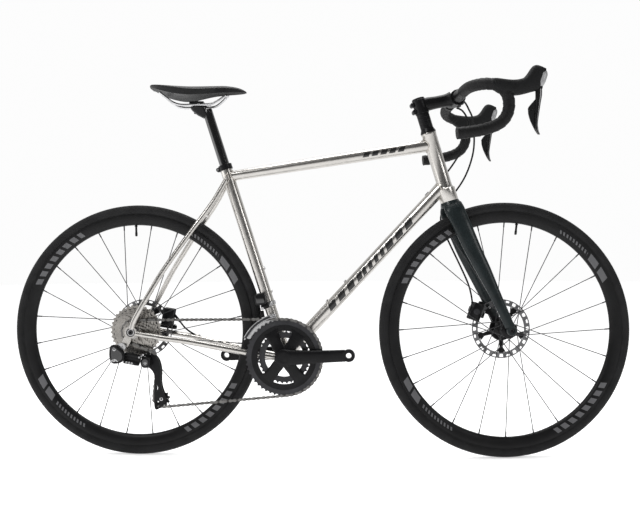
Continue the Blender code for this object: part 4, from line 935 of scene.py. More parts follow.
def build_rotor(prefix, centre, y, body, steered):
    flat = (centre.x, centre.z)
    disc = Shape().use("disc")
    holes = [circle(flat, 0.064, 60)]
    for i in range(24):
        middle, inner = 15 * i, (0.0686, 0.0716)[i % 2]
        window = arc(flat, 0.077, middle - 4.2, middle + 4.2, 4) + arc(flat, inner, middle + 3.6, middle - 3.6, 4)
        holes.append(rounded(window, 1))
    add_plate(disc, [circle(flat, 0.0799, 120)] + holes, y - 0.0009, y + 0.0009, flat)
    disc.use("black")
    for i in range(5):
        middle = 72 * i + 18 + 36
        outline = rounded(
            arc(flat, 0.0655, middle + 12, middle - 12, 5) + arc(flat, 0.05, middle - 5, middle - 5.1, 2)
            + arc(flat, 0.03, middle - 13, middle + 13, 4) + arc(flat, 0.05, middle + 5, middle + 5.1, 2), 1)
        disc.slab(outline, y - 0.0016, y + 0.0016)
        for turn in (-8, 8):
            spot = arc(flat, 0.064, middle + turn, middle + turn + 1, 2)[0]
            disc.use("silver")
            disc.rod((spot[0], y - 0.0021, spot[1]), (spot[0], y + 0.0021, spot[1]), 0.0024, 12)
            disc.use("black")
    disc.hoop_slab(circle(flat, 0.032, 60), circle(flat, 0.0172, 60), y - 0.0017, y + 0.0017)
    disc.hoop_slab(circle(flat, 0.0205, 60), circle(flat, 0.014, 60), y + 0.001, y + 0.0035)
    piece(f"{prefix}_brake_disc", disc, body, [f"{prefix}_rotor"], steered)


def build_wheels():
    rear_hub = [(0.0092, 0.053), (0.015, 0.053), (0.0165, 0.052), (0.0165, 0.038), (0.02, 0.0368),
                (0.024, 0.0362), (0.0246, 0.0352), (0.0246, 0.0318), (0.0236, 0.0308), (0.017, 0.027),
                (0.014, 0.019), (0.0133, 0.005), (0.014, -0.008), (0.018, -0.015), (0.0246, -0.0172),
                (0.0252, -0.018), (0.0252, -0.0198), (0.024, -0.0206), (0.016, -0.0222), (0.0092, -0.0222)]
    front_hub = [(0.0092, 0.0384), (0.0165, 0.0384), (0.0165, 0.0275), (0.02, 0.0262), (0.0228, 0.0252),
                 (0.0233, 0.0243), (0.0233, 0.0215), (0.0222, 0.0204), (0.015, 0.017), (0.0118, 0.008),
                 (0.0112, -0.008), (0.0118, -0.024), (0.016, -0.0318), (0.0212, -0.0335), (0.0217, -0.0342),
                 (0.0217, -0.0362), (0.0205, -0.0372), (0.0135, -0.0398), (0.0092, -0.0398)]
    build_wheel("rear", REAR_AXLE, "rear_wheel", radians(82.5), radians(91), (0.0335, 0.0245),
                (-0.0188, 0.0252), rear_hub, REAR_ROTOR_Y, False)
    build_wheel("front", FRONT_AXLE, "front_wheel", radians(89.8), radians(83.1), (0.0228, 0.0233),
                (-0.035, 0.0217), front_hub, FRONT_ROTOR_Y, True)
    for prefix, centre, body, face, steered in (("rear", REAR_AXLE, "frame", 0.071, False),
                                                ("front", FRONT_AXLE, "steering", 0.05, True)):
        axle = Shape().use("grey")
        axle.lathe([(0.0026, face + 0.0098), (0.0054, face + 0.0098), (0.006, face + 0.009), (0.006, face),
                    (0.0086, face), (0.0086, face - 0.004), (0.007, face - 0.0046), (0.007, 0.0046 - face),
                    (0.0086, 0.004 - face), (0.0086, -face), (0.006, -face), (0.006, -face - 0.01),
                    (0.0054, -face - 0.0108), (0.0026, -face - 0.0108), (0.0026, -face - 0.005), (0.002, 0.0)],
                   centre, steps=32)
        piece(f"{prefix}_through_axle", axle, body, [f"{prefix}_axle"], steered)


# ---------------------------------------------------------------- drivetrain


def toothed(centre, teeth, phase, tip=0.0015, root=-0.003):
    """A sprocket's outline, as (x, z): rounded gaps for the rollers and narrow tips between them."""
    outline = []
    base = pitch_radius(teeth)
    shape = ((0.0, root), (0.2, root * 0.8), (0.34, root * 0.1), (0.44, tip * 0.8), (0.5, tip), (0.56, tip * 0.8),
             (0.66, root * 0.1), (0.8, root * 0.8))
    for i in range(teeth):
        for share, height in shape:
            angle = phase - 2 * pi * (i + share) / teeth
            reach = base + height
            outline.append((centre[0] + reach * cos(angle), centre[1] + reach * sin(angle)))
    return outline


def resized(outline, centre, share=None, radius=None):
    """The outline scaled about centre by share, or pushed onto a circle of this radius."""
    found = []
    for x, z in outline:
        dx, dz = x - centre[0], z - centre[1]
        size = share or radius / hypot(dx, dz)
        found.append((centre[0] + dx * size, centre[1] + dz * size))
    return found


def belt_line(stations):
    """A belt's line as (x, z) points, close together round each station: (x, z, radius, 1 clockwise or -1)."""
    points = []
    count = len(stations)
    signed = [radius * way for _, _, radius, way in stations]
    angles = []
    for i in range(count):
        (x0, z0), (x1, z1) = stations[i][:2], stations[(i + 1) % count][:2]
        distance = hypot(x1 - x0, z1 - z0)
        heading = atan2(z1 - z0, x1 - x0) - asin((signed[i] - signed[(i + 1) % count]) / distance)
        angles.append(heading + pi / 2)
    for i, (x, z, radius, way) in enumerate(stations):
        start, end = angles[i - 1], angles[i]
        sweep = (start - end) % (2 * pi) if way > 0 else -((end - start) % (2 * pi))
        steps = max(8, int(abs(sweep) * radius / 0.0008))
        for k in range(steps + 1):
            angle = start - sweep * k / steps
            points.append((x + signed[i] * cos(angle), z + signed[i] * sin(angle)))
    return points


def chain_y(x):
    share = min(max((x - 0.003) / 0.39, 0), 1)
    return COG_Y + (RING_Y - COG_Y) * share


def chain_pins():
    stations = ((REAR_AXLE.x, REAR_AXLE.z, pitch_radius(COG_TEETH_IN_USE), 1),
                (BB.x, BB.z, pitch_radius(LARGE_RING_TEETH), 1),
                (TENSION_PULLEY.x, TENSION_PULLEY.z, pitch_radius(PULLEY_TEETH), 1),
                (GUIDE_PULLEY.x, GUIDE_PULLEY.z, pitch_radius(PULLEY_TEETH), -1))
    line = belt_line(stations)
    lengths = [0.0]
    for a, b in zip(line, line[1:] + line[:1]):
        lengths.append(lengths[-1] + hypot(b[0] - a[0], b[1] - a[1]))
    count = 2 * round(lengths[-1] / CHAIN_PITCH / 2)
    step = lengths[-1] / count
    pins = []
    k = 0
    for i in range(count):
        want = i * step
        while lengths[k + 1] < want:
            k += 1
        share = (want - lengths[k]) / (lengths[k + 1] - lengths[k] or 1)
        a, b = line[k], line[(k + 1) % len(line)]
        pins.append((a[0] + (b[0] - a[0]) * share, a[1] + (b[1] - a[1]) * share))
    return pins


def link_outline(a, b, half, waist):
    """A chain plate's edge round two pins."""
    heading = degrees(atan2(b[1] - a[1], b[0] - a[0]))
    middle = ((a[0] + b[0]) / 2, (a[1] + b[1]) / 2)
    up = arc(middle, waist, heading + 90, heading + 91, 2)[0]
    down = arc(middle, waist, heading - 90, heading - 89, 2)[0]
    return arc(a, half, heading + 70, heading + 290, 6) + [down] + arc(b, half, heading - 110, heading + 110, 6) + [up]


def build_chain(pins):
    chain = Shape()
    count = len(pins)
    for i, a in enumerate(pins):
        b = pins[(i + 1) % count]
        middle = chain_y((a[0] + b[0]) / 2) if a[1] > 0.2 or a[0] > 0.1 else COG_Y
        level, half = (0.00165, 0.0039) if i % 2 else (0.00235, 0.004)
        outline = link_outline(a, b, half, 0.0024)
        chain.use("chain" if i % 2 else "link")
        for side in (1, -1):
            low = middle + side * level
            chain.slab(outline, low - 0.0004, low + 0.0004, bevel=0.0001)
        y = chain_y(a[0])
        chain.use("chain")
        chain.rod((a[0], y - 0.00255, a[1]), (a[0], y + 0.00255, a[1]), 0.0016, 8, 0.0001)
        chain.rod((a[0], y - 0.0012, a[1]), (a[0], y + 0.0012, a[1]), 0.0036, 10, 0.0001)
    piece("chain_links", chain, "frame", ["chain"], sharp=40)


def nearest_angle(pins, centre, radius):
    """The direction from centre of a pin that lies on this radius."""
    best = min(pins, key=lambda pin: abs(hypot(pin[0] - centre[0], pin[1] - centre[1]) - radius))
    return atan2(best[1] - centre[1], best[0] - centre[0])


def build_cassette(pins):
    cassette = Shape()
    centre = (REAR_AXLE.x, REAR_AXLE.z)
    for index, teeth in enumerate(COG_SIZES):
        y = FIRST_COG_Y + index * COG_PITCH_Y
        phase = 0.35 * index
        if teeth == COG_TEETH_IN_USE:
            phase = nearest_angle(pins, centre, pitch_radius(COG_TEETH_IN_USE))
        outer = toothed(centre, teeth, phase)
        cassette.use("cog").hoop_slab(outer, resized(outer, centre, radius=0.0165), y - 0.0006, y + 0.0008)
        if index:
            gap = pitch_radius(teeth) - 0.0085 if index > 6 else pitch_radius(COG_SIZES[index - 1]) - 0.0062
            cassette.use("grey" if index > 6 else "cog")
            cassette.hoop_slab(circle(centre, gap, 40), circle(centre, 0.016, 40), y - COG_PITCH_Y + 0.0007, y - 0.0005)
    cassette.use("silver")
    cassette.hoop_slab(circle(centre, 0.018, 48), circle(centre, 0.0125, 48), FIRST_COG_Y - 0.003, FIRST_COG_Y - 0.0006)
    cassette.use("black")
    cassette.hoop_slab(circle(centre, 0.0168, 48), circle(centre, 0.0095, 48), FIRST_COG_Y - 0.001, -0.0231)
    piece("cassette_cogs", cassette, "cassette", ["cassette"])


def spider(shape, sections):
    """The arms of the crank's spider. A section is (distance from the axle, y, half width, half thickness)."""
    for angle in SPIDER_ANGLES:
        out = Vector((cos(radians(angle)), 0, sin(radians(angle))))
        side = Vector((-out.z, 0, out.x))
        shape.skin([oval(BB + out * reach + LEFT * y, side, LEFT, wide, thick, 20, 0.6)
                    for reach, y, wide, thick in smooth(sections, 3)])


def build_crankset(pins):
    centre = (BB.x, BB.z)
    forward = Vector((cos(CRANK_TILT), 0, sin(CRANK_TILT)))
    up = Vector((-sin(CRANK_TILT), 0, cos(CRANK_TILT)))
    phase = nearest_angle([p for p in pins if p[0] > 0.42], centre, pitch_radius(LARGE_RING_TEETH))
    outer = toothed(centre, LARGE_RING_TEETH, phase)
    ring = Shape().use("grey")
    inner = resized(outer, centre, radius=0.0715)
    ring.hoop_slab(outer, inner, RING_Y - 0.0012, RING_Y + 0.0012)
    ring.use("black")
    ring.hoop_slab(resized(inner, centre, 1.205), resized(inner, centre, 0.985), RING_Y - 0.0021, RING_Y + 0.0004)
    spider(ring, ((0.044, -0.0503, 0.016, 0.0026), (0.058, -0.0496, 0.015, 0.0022),
                  (0.067, -0.049, 0.018, 0.0019), (0.076, -0.0484, 0.0255, 0.0012)))
    piece("large_ring_toothed", ring, "crankset", ["large_chainring"])

    small = Shape().use("grey")
    outer = toothed(centre, SMALL_RING_TEETH, 0.1)
    small.hoop_slab(outer, resized(outer, centre, radius=0.0515), SMALL_RING_Y - 0.0011, SMALL_RING_Y + 0.0011)
    piece("small_ring_toothed", small, "crankset", ["small_chainring"])

    for name, side in (("right", -1), ("left", 1)):
        arm = Shape().use("black")
        way = forward * -side
        sections = (
            (-0.0235, 0.056, 0.006, 0.008), (-0.0215, 0.056, 0.0135, 0.01), (-0.012, 0.056, 0.0205, 0.0108),
            (0.0, 0.0565, 0.0228, 0.0112), (0.03, 0.059, 0.02, 0.01), (0.08, 0.0633, 0.0172, 0.008),
            (0.13, 0.0658, 0.016, 0.0068), (CRANK_LENGTH - 0.016, 0.0664, 0.0158, 0.0064),
            (CRANK_LENGTH - 0.0088, 0.0665, 0.0156, 0.0063),
        )
        arm.skin([oval(BB + way * reach + LEFT * side * y, up, (0, side, 0), high, thick, 32, 0.62)
                  for reach, y, high, thick in smooth(sections, 5)])
        eye = BB + way * CRANK_LENGTH
        arm.lathe([(0.0072, side * 0.06), (0.0155, side * 0.06), (0.0164, side * 0.0608), (0.0164, side * 0.0726),
                   (0.0156, side * 0.0734), (0.0084, side * 0.0734), (0.0072, side * 0.0724)],
                  Vector((eye.x, 0, eye.z)), steps=48)
        hub = [(0.0122, side * 0.0445), (0.0205, side * 0.0445), (0.0215, side * 0.046), (0.0222, side * 0.05)]
        arm.lathe(hub + [(0.0215, side * 0.068), (0.0195, side * 0.0688), (0.0122, side * 0.0688)], BB, steps=56)
        if name == "right":
            arm.use("black").lathe([(0.002, -0.0676), (0.0119, -0.0676), (0.0124, -0.0682), (0.0124, -0.06),
                                   (0.002, -0.06)], BB, steps=40)
            arm.use("silver").rod(BB + LEFT * -0.06, BB + LEFT * 0.044, 0.0119, 32)
            arm.use("black")
            spider(arm, ((0.012, -0.052, 0.015, 0.0055), (0.026, -0.0512, 0.0155, 0.0042),
                         (0.04, -0.0505, 0.015, 0.003), (0.056, -0.0498, 0.0146, 0.0024)))
        else:
            arm.use("plastic").lathe([(0.001, 0.0684), (0.01, 0.0684), (0.0116, 0.069), (0.0122, 0.0686),
                                      (0.0122, 0.064), (0.001, 0.064)], BB, steps=40)
        piece(f"{name}_crank", arm, "crankset", [f"{name}_crank_arm"])


def rounded_box(shape, centre, size, turn=0.0, power=0.35, tilt=0.0):
    """A block with soft edges, turned about Y and then about X."""
    turned = Matrix.Rotation(turn, 3, "Y") @ Matrix.Rotation(tilt, 3, "X")
    along, across, up = turned @ Vector((1, 0, 0)), turned @ LEFT, turned @ Vector((0, 0, 1))
    half = Vector(size) / 2
    edge = min(half) * 0.45
    rings = []
    for level, shrink in ((-half.z, edge), (-half.z + edge * 0.3, edge * 0.3), (-half.z + edge, 0.0),
                          (half.z - edge, 0.0), (half.z - edge * 0.3, edge * 0.3), (half.z, edge)):
        rings.append(oval(Vector(centre) + up * level, along, across, half.x - shrink, half.y - shrink, 24, power))
    shape.skin(rings)


def build_rear_derailleur(pins):
    a, b = LINK_PIVOTS
    body = Shape().use("silver")
    hanger = rounded([(-0.035, 0.31), (-0.02, 0.312), (-0.011, 0.306), (-0.012, 0.296), (-0.022, 0.292),
                      (-0.035, 0.293)], 2)
    body.slab(hanger, -0.0848, -0.0792)
    bolt(body, (-0.017, -0.0845, 0.304), (0, -1, 0), 0.0052, 0.0035, "silver")
    body.use("black")
    knuckle = rounded([(-0.052, 0.298), (-0.048, 0.307), (-0.036, 0.308), (-0.025, 0.299), (-0.015, 0.29),
                       (-0.012, 0.279), (-0.015, 0.265), (-0.03, 0.258), (-0.048, 0.259), (-0.053, 0.278)], 2)
    body.slab(knuckle, -0.0958, -0.082, bevel=0.0022)
    body.use("gloss_black")
    cover = offset_outline(knuckle, -0.005)
    body.slab(cover, -0.0964, -0.095, bevel=0.0006)
    body.use("silver").slab(rounded([(-0.05, 0.266), (-0.038, 0.272), (-0.027, 0.265), (-0.03, 0.263),
                                     (-0.038, 0.2685), (-0.048, 0.2635)], 1), -0.0966, -0.095)
    bolt(body, (-0.0385, -0.0955, 0.296), (0, -1, 0), 0.0042, 0.0012, "silver")
    bolt(body, (-0.04, -0.0955, 0.267), (0, -1, 0), 0.0036, 0.0012, "silver")
    body.use("black")
    body.rod(a + Vector((-0.0105, -0.013, 0.001)), a + Vector((-0.0108, -0.001, 0.001)), 0.0078, 24, 0.0012)
    piece("rear_derailleur_mount", body, "frame", ["rear_derailleur_body"])

    link = Shape().use("black")
    way = (b - a).normalized()
    up = Vector((-way.z, 0, way.x))
    span = (b - a).length
    for shift, y, wide in ((0.008, -0.0766, 0.005), (-0.0125, -0.0762, 0.0052)):
        link.skin([oval(a + way * span * t + up * (shift + 0.0012 * sin(pi * t)) + LEFT * (y + 0.074),
                        up, LEFT, wide * size, 0.003, 16, 0.7)
                   for t, size in ((0.09, 0.7), (0.13, 0.95), (0.3, 1.0), (0.5, 1.0), (0.7, 1.0), (0.86, 0.8),
                                   (0.92, 0.5))])
    link.use("plastic")
    link.skin([oval(a + way * span * t + Vector((0, 0.0018, -0.0015)), up, LEFT, 0.0135 * size, 0.003, 20, 0.6)
               for t, size in ((0.1, 0.6), (0.14, 0.8), (0.35, 1.0), (0.6, 1.0), (0.86, 0.85), (0.925, 0.6))])
    for t in (0.26, 0.4, 0.54, 0.86):
        spot = a + way * span * t + up * (-0.0122 if t < 0.8 else 0.007)
        link.use("silver").rod(spot + LEFT * -0.0059, spot + LEFT * -0.003, 0.0026, 16, 0.0004)
        link.use("black").rod(spot + LEFT * -0.006, spot + LEFT * -0.003, 0.0013, 12)
    piece("rear_derailleur_arms", link, "rear_derailleur_link", ["rear_derailleur_link"])

    knuckle = Shape().use("black")
    middle = Vector((0.0395, 0, 0.26))
    profile = ((-0.0852, 0.8), (-0.0849, 0.9), (-0.084, 0.96), (-0.0815, 1.0), (-0.07, 1.0), (-0.063, 1.0),
               (-0.0612, 0.96), (-0.0607, 0.9))
    knuckle.skin([oval(middle + LEFT * y, (1, 0, 0), (0, 0, 1), 0.0124 * size, 0.0143 * size, 40, 0.85)
                  for y, size in profile])
    knuckle.use("gloss_black")
    knuckle.skin([oval(middle + LEFT * y, (1, 0, 0), (0, 0, 1), 0.0124 * size, 0.0143 * size, 40, 0.9)
                  for y, size in ((-0.0849, 0.66), (-0.0855, 0.64), (-0.0855, 0.3))])
    bolt(knuckle, middle + Vector((0.0005, -0.085, -0.001)), (0, -1, 0), 0.0034, 0.0008, "silver")
    piece("rear_derailleur_barrel", knuckle, "rear_derailleur_knuckle", ["rear_derailleur_knuckle"])

    cage = Shape().use("black")
    edge = [(0.03, 0.249), (0.0285, 0.262), (0.033, 0.272), (0.045, 0.277), (0.06, 0.274), (0.069, 0.266),
            (0.076, 0.24), (0.074, 0.204), (0.08, 0.18), (0.087, 0.168), (0.088, 0.156), (0.08, 0.146),
            (0.068, 0.133), (0.06, 0.131), (0.0555, 0.14), (0.056, 0.186), (0.059, 0.221), (0.049, 0.24)]
    windows = [
        rounded([(0.062, 0.196), (0.065, 0.2), (0.0668, 0.188), (0.064, 0.179), (0.061, 0.182)], 1),
        rounded([(0.061, 0.15), (0.0625, 0.144), (0.074, 0.149), (0.07, 0.152), (0.064, 0.156)], 1),
        rounded([(0.0605, 0.141), (0.062, 0.1375), (0.0675, 0.1385), (0.07, 0.143), (0.064, 0.142)], 1),
    ]
    for low, high in ((COG_Y - 0.0079, COG_Y - 0.0061), (COG_Y + 0.005, COG_Y + 0.0066)):
        add_plate(cage, [rounded(edge, 2)] + windows, low, high)
    for pulley in (GUIDE_PULLEY, TENSION_PULLEY):
        cage.use("silver")
        cage.rod((pulley.x, COG_Y - 0.0078, pulley.z), (pulley.x, COG_Y + 0.006, pulley.z), 0.003, 20)
        bolt(cage, (pulley.x, COG_Y - 0.0074, pulley.z), (0, -1, 0), 0.0046, 0.0009)
        cage.use("black")
    piece("rear_derailleur_cage_plates", cage, "rear_derailleur_cage", ["rear_derailleur_cage"])
    for name, pulley in (("guide_pulley", GUIDE_PULLEY), ("tension_pulley", TENSION_PULLEY)):
        centre = (pulley.x, pulley.z)
        wheel = Shape().use("plastic")
        phase = nearest_angle(pins, centre, pitch_radius(PULLEY_TEETH))
        outer = toothed(centre, PULLEY_TEETH, phase, tip=-0.0006, root=-0.0046)
        holes = [circle(centre, 0.0056, 20)]
        for i in range(5):
            spot = arc(centre, 0.0118, 72 * i, 72 * i + 1, 2)[0]
            holes.append(circle(spot, 0.0029, 12))
        add_plate(wheel, [outer] + holes, COG_Y - 0.0011, COG_Y + 0.0011)
        wheel.use("grey")
        wheel.hoop_slab(circle(centre, 0.0074, 32), circle(centre, 0.0034, 32), COG_Y - 0.0034, COG_Y + 0.0034)
        piece(f"{name}_wheel", wheel, name, [name])


def build_front_derailleur():
    body = Shape().use("black")
    band = BB + SEAT_UP * ((0.4085 - BB.z) / SEAT_UP.z)
    body.use("silver").lathe([(0.0162, 0.0058), (0.0183, 0.0058), (0.0187, 0.005), (0.0187, -0.005),
                              (0.0183, -0.0058), (0.0162, -0.0058)], band, SEAT_UP, 56)
    body.use("black")
    rounded_box(body, (0.35, -0.0285, 0.404), (0.022, 0.022, 0.014), radians(-17), 0.5)
    rounded_box(body, (0.338, -0.034, 0.423), (0.03, 0.026, 0.032), radians(-8), 0.45)
    body.use("gloss_black")
    rounded_box(body, (0.338, -0.046, 0.424), (0.021, 0.003, 0.022), radians(-8), 0.5)
    bolt(body, (0.3655, -0.019, 0.409), (0.2, -1, 0), 0.0048, 0.003)
    bolt(body, (0.344, -0.0395, 0.3985), (0, -1, 0), 0.004, 0.002)
    piece("front_derailleur_motor", body, "frame", ["front_derailleur_body"])
    cage = Shape().use("silver")
    centre = (BB.x, BB.z)
    tail = rounded(arc(centre, 0.1183, 101, 153, 14) + arc(centre, 0.1105, 153, 135, 5)
                   + arc(centre, 0.1085, 130, 101, 8), 1)
    cage.use("grey").slab(tail, -0.054, -0.0532)
    # thin raised silver strips along both edges of the dark grey outer plate: painted highlights where the edges catch
    # the light
    for reach, last in ((0.1174, 153), (0.1098, 136)):
        ridge = arc(centre, reach + 0.0009, 101, last, 16) + arc(centre, reach - 0.0009, last, 101, 16)
        cage.use("silver").slab(ridge, -0.0544, -0.0535)
    inner = rounded(arc(centre, 0.1183, 101, 153, 14) + arc(centre, 0.102, 153, 140, 4)
                    + arc(centre, 0.0915, 130, 101, 8), 1)
    cage.slab(inner, -0.0411, -0.0399)
    rounded_box(cage, (0.372, -0.04715, 0.38), (0.018, 0.0143, 0.0028), radians(-15), 0.3)
    rounded_box(cage, (0.2985, -0.04715, 0.3195), (0.006, 0.0143, 0.0028), radians(-60), 0.3)
    cage.use("black")
    rounded_box(cage, (0.344, -0.043, 0.384), (0.01, 0.0058, 0.018), radians(-10), 0.5)
    piece("front_derailleur_guide", cage, "front_derailleur_cage", ["front_derailleur_cage"])


# ---------------------------------------------------------------- fork and cockpit

FORK_SECTIONS = (
    (0.8445, 0.017, 0.6725, 0.024, 0.014), (0.848, 0.03, 0.656, 0.0262, 0.0112),
    (0.857, 0.035, 0.633, 0.0252, 0.0112), (0.869, 0.0395, 0.605, 0.024, 0.011),
    (0.892, 0.0445, 0.55, 0.0222, 0.0104), (0.916, 0.0485, 0.5, 0.02, 0.0096),
    (0.948, 0.0535, 0.43, 0.015, 0.0088), (0.968, 0.0565, 0.385, 0.0135, 0.008),
    (0.984, 0.058, 0.348, 0.0125, 0.0068),
)


def build_fork():
    fork = Shape().use("carbon")
    crown = ((0.0004, 0.0243, 0.0243, 1.0), (0.003, 0.025, 0.0252, 0.98), (0.007, 0.0262, 0.0275, 0.92),
             (0.011, 0.0266, 0.0292, 0.88), (0.0134, 0.0262, 0.0296, 0.86))
    fork.skin([oval(HEAD_BOTTOM - STEER_UP * down, FORWARD_OF_STEER, LEFT, a, b, 40, power)
               for down, a, b, power in crown])
    for side in (1, -1):
        fork.skin([oval((x, side * y, z), FORWARD_OF_STEER, LEFT, a, b, 32, 0.88)
                   for x, y, z, a, b in smooth(FORK_SECTIONS, 6)])
        face = side * 0.0503
        fork.lathe([(0.0063, face), (0.0118, face), (0.0125, side * 0.051), (0.0125, side * 0.063),
                    (0.0118, side * 0.0639), (0.0063, side * 0.0639)], FRONT_AXLE, steps=40)
    fork.use("black").rod(HEAD_BOTTOM - STEER_UP * 0.006, STEER_POINT + STEER_UP * 0.1835, 0.0143, 32)
    piece("fork_carbon", fork, "steering", ["fork"], True, sharp=38)

    spacers = Shape().use("black")
    stack = [(0.0147, 0.0003), (0.0206, 0.0003), (0.0209, 0.0012), (0.0203, 0.0034), (0.018, 0.009), (0.0169, 0.0118)]
    spacers.lathe(stack + [(0.0147, 0.0118)], HEAD_TOP, STEER_UP, 48)
    for low, high in ((0.012, 0.0218), (0.0221, 0.0319), (0.0322, 0.042), (0.0423, 0.0526)):
        spacers.lathe([(0.0147, low), (0.0164, low), (0.0168, low + 0.0005), (0.0168, high - 0.0005), (0.0164, high),
                       (0.0147, high)], HEAD_TOP, STEER_UP, 48)
    piece("headset_spacer_stack", spacers, "steering", ["headset_spacers"], True)
    build_stem()


def build_stem():
    bottom = HEAD_TOP + STEER_UP * 0.0532
    stem = Shape().use("black")
    stem.lathe([(0.0147, 0.0), (0.0178, 0.0), (0.0185, 0.0008), (0.0185, 0.0372), (0.0178, 0.038), (0.0147, 0.038)],
               bottom, STEER_UP, 48)
    start = bottom + STEER_UP * 0.0235
    way = (BAR_CENTRE - start).normalized()
    up = Vector((-way.z, 0, way.x))
    sections = ((0.012, 0.016, 0.015), (0.022, 0.0175, 0.0162), (0.045, 0.0162, 0.0158), (0.068, 0.0168, 0.0165),
                (0.078, 0.019, 0.0195), (0.083, 0.0208, 0.0212))
    stem.skin([oval(start + way * reach, up, LEFT, high, wide, 32, 0.82)
               for reach, high, wide in smooth(sections, 4)])
    # the bar's clamp is two half rings, on the stem and on the faceplate
    half_ring(stem, way, up, 95, 265)
    back = -FORWARD_OF_STEER
    for high in (0.01, 0.029):
        spot = bottom + STEER_UP * high + back * 0.0205
        for side in (1, -1):
            stem.use("black")
            stem.skin([oval(spot + LEFT * side * depth, back, STEER_UP, 0.0052 * size, 0.006 * size, 20, 0.85)
                       for depth, size in ((0.001, 0.92), (0.0016, 1.0), (0.0085, 1.0), (0.0092, 0.9))])
        bolt(stem, spot + LEFT * -0.009, (0, -1, 0), 0.004, 0.003, "grey")
    stem.use("black")
    stem.lathe([(0.0006, 0.043), (0.003, 0.043), (0.0032, 0.042), (0.0148, 0.043), (0.0168, 0.042),
                (0.0172, 0.0405), (0.0172, 0.0384), (0.0006, 0.0384)], bottom, STEER_UP, 48)
    bolt(stem, bottom + STEER_UP * 0.0418, STEER_UP, 0.0048, 0.0014, "grey")
    piece("stem_forging", stem, "steering", ["stem"], True)
    face = Shape().use("black")
    half_ring(face, way, up, -84, 84)
    for high in (0.0172, -0.0172):
        for side in (1, -1):
            spot = BAR_CENTRE + up * high + LEFT * side * 0.015
            face.use("black")
            face.rod(spot + way * 0.0008, spot + way * 0.0105, 0.0048, 20, 0.0006)
            bolt(face, spot + way * 0.0102, way, 0.0036, 0.0026, "grey")
    piece("stem_face", face, "steering", ["stem_faceplate"], True)


def half_ring(shape, way, up, start, end):
    """Part of a clamp ring round the bar, from one angle to another about Y, with 0 straight ahead."""
    rings = []
    steps = 20
    for i in range(steps + 1):
        angle = radians(start + (end - start) * i / steps)
        out = way * cos(angle) + up * sin(angle)
        rings.append([BAR_CENTRE + out * r + LEFT * y for r, y in (
            (0.0162, -0.0208), (0.02, -0.0208), (0.0208, -0.02), (0.0208, 0.02), (0.02, 0.0208),
            (0.0162, 0.0208))])
    shape.skin(rings)


BAR_ROUTE = (
    (0.862, 0.0, 0.955), (0.862, 0.036, 0.955), (0.862, 0.074, 0.955), (0.8625, 0.115, 0.954),
    (0.8655, 0.148, 0.9515), (0.8735, 0.175, 0.949), (0.885, 0.195, 0.9465), (0.899, 0.206, 0.9435),
    (0.914, 0.211, 0.939), (0.928, 0.2125, 0.929), (0.9375, 0.213, 0.912), (0.94, 0.213, 0.89),
    (0.935, 0.213, 0.869), (0.922, 0.213, 0.851), (0.901, 0.213, 0.839), (0.872, 0.213, 0.8305),
    (0.84, 0.213, 0.825), (0.812, 0.213, 0.822),
)
TAPE_START = 0.074
TAPE_WRAP = 0.015


def build_bar():
    bar = Shape().use("black")
    centre_run = [(y, 0.0159 if abs(y) < 0.04 else 0.0122) for y in
                  (-0.076, -0.06, -0.054, -0.046, -0.04, -0.0385, 0.0, 0.0385, 0.04, 0.046, 0.054, 0.06, 0.076)]
    sizes = {0.046: 0.0146, 0.054: 0.0128, 0.04: 0.0158, 0.0385: 0.0159}
    bar.tube([(BAR_CENTRE.x, y, BAR_CENTRE.z) for y, _ in centre_run],
             [sizes.get(abs(y), r) for y, r in centre_run], 40)
    for side in (1, -1):
        route = [Vector((x, side * y, z)) for x, y, z in smooth(BAR_ROUTE, 24)]
        route = [point for point in route if abs(point.y) > TAPE_START]
        route = even(route, 0.0013)
        frames_here = frames(route)
        rings = []
        run = 0.0
        for i, (place, way, across) in enumerate(frames_here):
            if i:
                run += (place - route[i - 1]).length
            other = way.cross(across)
            ring = []
            for k in range(32):
                angle = 2 * pi * k / 32
                turn = (run / TAPE_WRAP + side * angle / (2 * pi)) % 1.0
                lap = 0.0011 * (1 - turn) ** 1.3 - 0.0006 * exp(-((turn - 0.985) / 0.02) ** 2)
                radius = 0.0139 + lap
                ring.append(place + (across * cos(angle) + other * sin(angle)) * radius)
            rings.append(ring)
        bar.use("tape").skin(rings)
        # a finishing band closes the tape beside the stem, and a plug closes the bar's end
        bar.use("plastic").lathe([(0.014, -0.006), (0.0147, -0.0056), (0.0147, 0.0056), (0.014, 0.006)],
                                 BAR_CENTRE + LEFT * side * 0.08, steps=40)
        tip, way, across = frames_here[-1]
        plug = [(-0.004, 0.0138), (-0.0006, 0.0148), (0.0, 0.0146), (0.0004, 0.012), (0.0005, 0.004)]
        bar.skin([around(tip - way * 0.0008 + way * h, way, across, r, 40) for h, r in plug])
    piece("bar_and_tape", bar, "steering", ["handlebar"], True, sharp=42)


def even(points, step):
    """The same line, as points a step apart."""
    found = [points[0]]
    left = step
    for a, b in zip(points, points[1:]):
        length = (b - a).length
        while length > left:
            a = a.lerp(b, left / length)
            found.append(a)
            length = (b - a).length
            left = step
        left -= length
    found.append(points[-1])
    return found


HOOD_SECTIONS = (
    # x, top, bottom, half width
    (0.904, 0.9558, 0.9275, 0.0146), (0.911, 0.9558, 0.9225, 0.0156), (0.92, 0.9548, 0.918, 0.0162),
    (0.935, 0.953, 0.915, 0.0162),
    (0.951, 0.9522, 0.9146, 0.016), (0.964, 0.9535, 0.9156, 0.016), (0.976, 0.9575, 0.918, 0.016),
    (0.986, 0.968, 0.9205, 0.0158), (0.993, 0.9785, 0.9225, 0.0156), (0.999, 0.9855, 0.924, 0.0152),
    (1.006, 0.9885, 0.926, 0.0148), (1.013, 0.9878, 0.93, 0.0142), (1.019, 0.9858, 0.943, 0.0134),
    (1.024, 0.9832, 0.96, 0.0124), (1.029, 0.9803, 0.972, 0.0108),
)


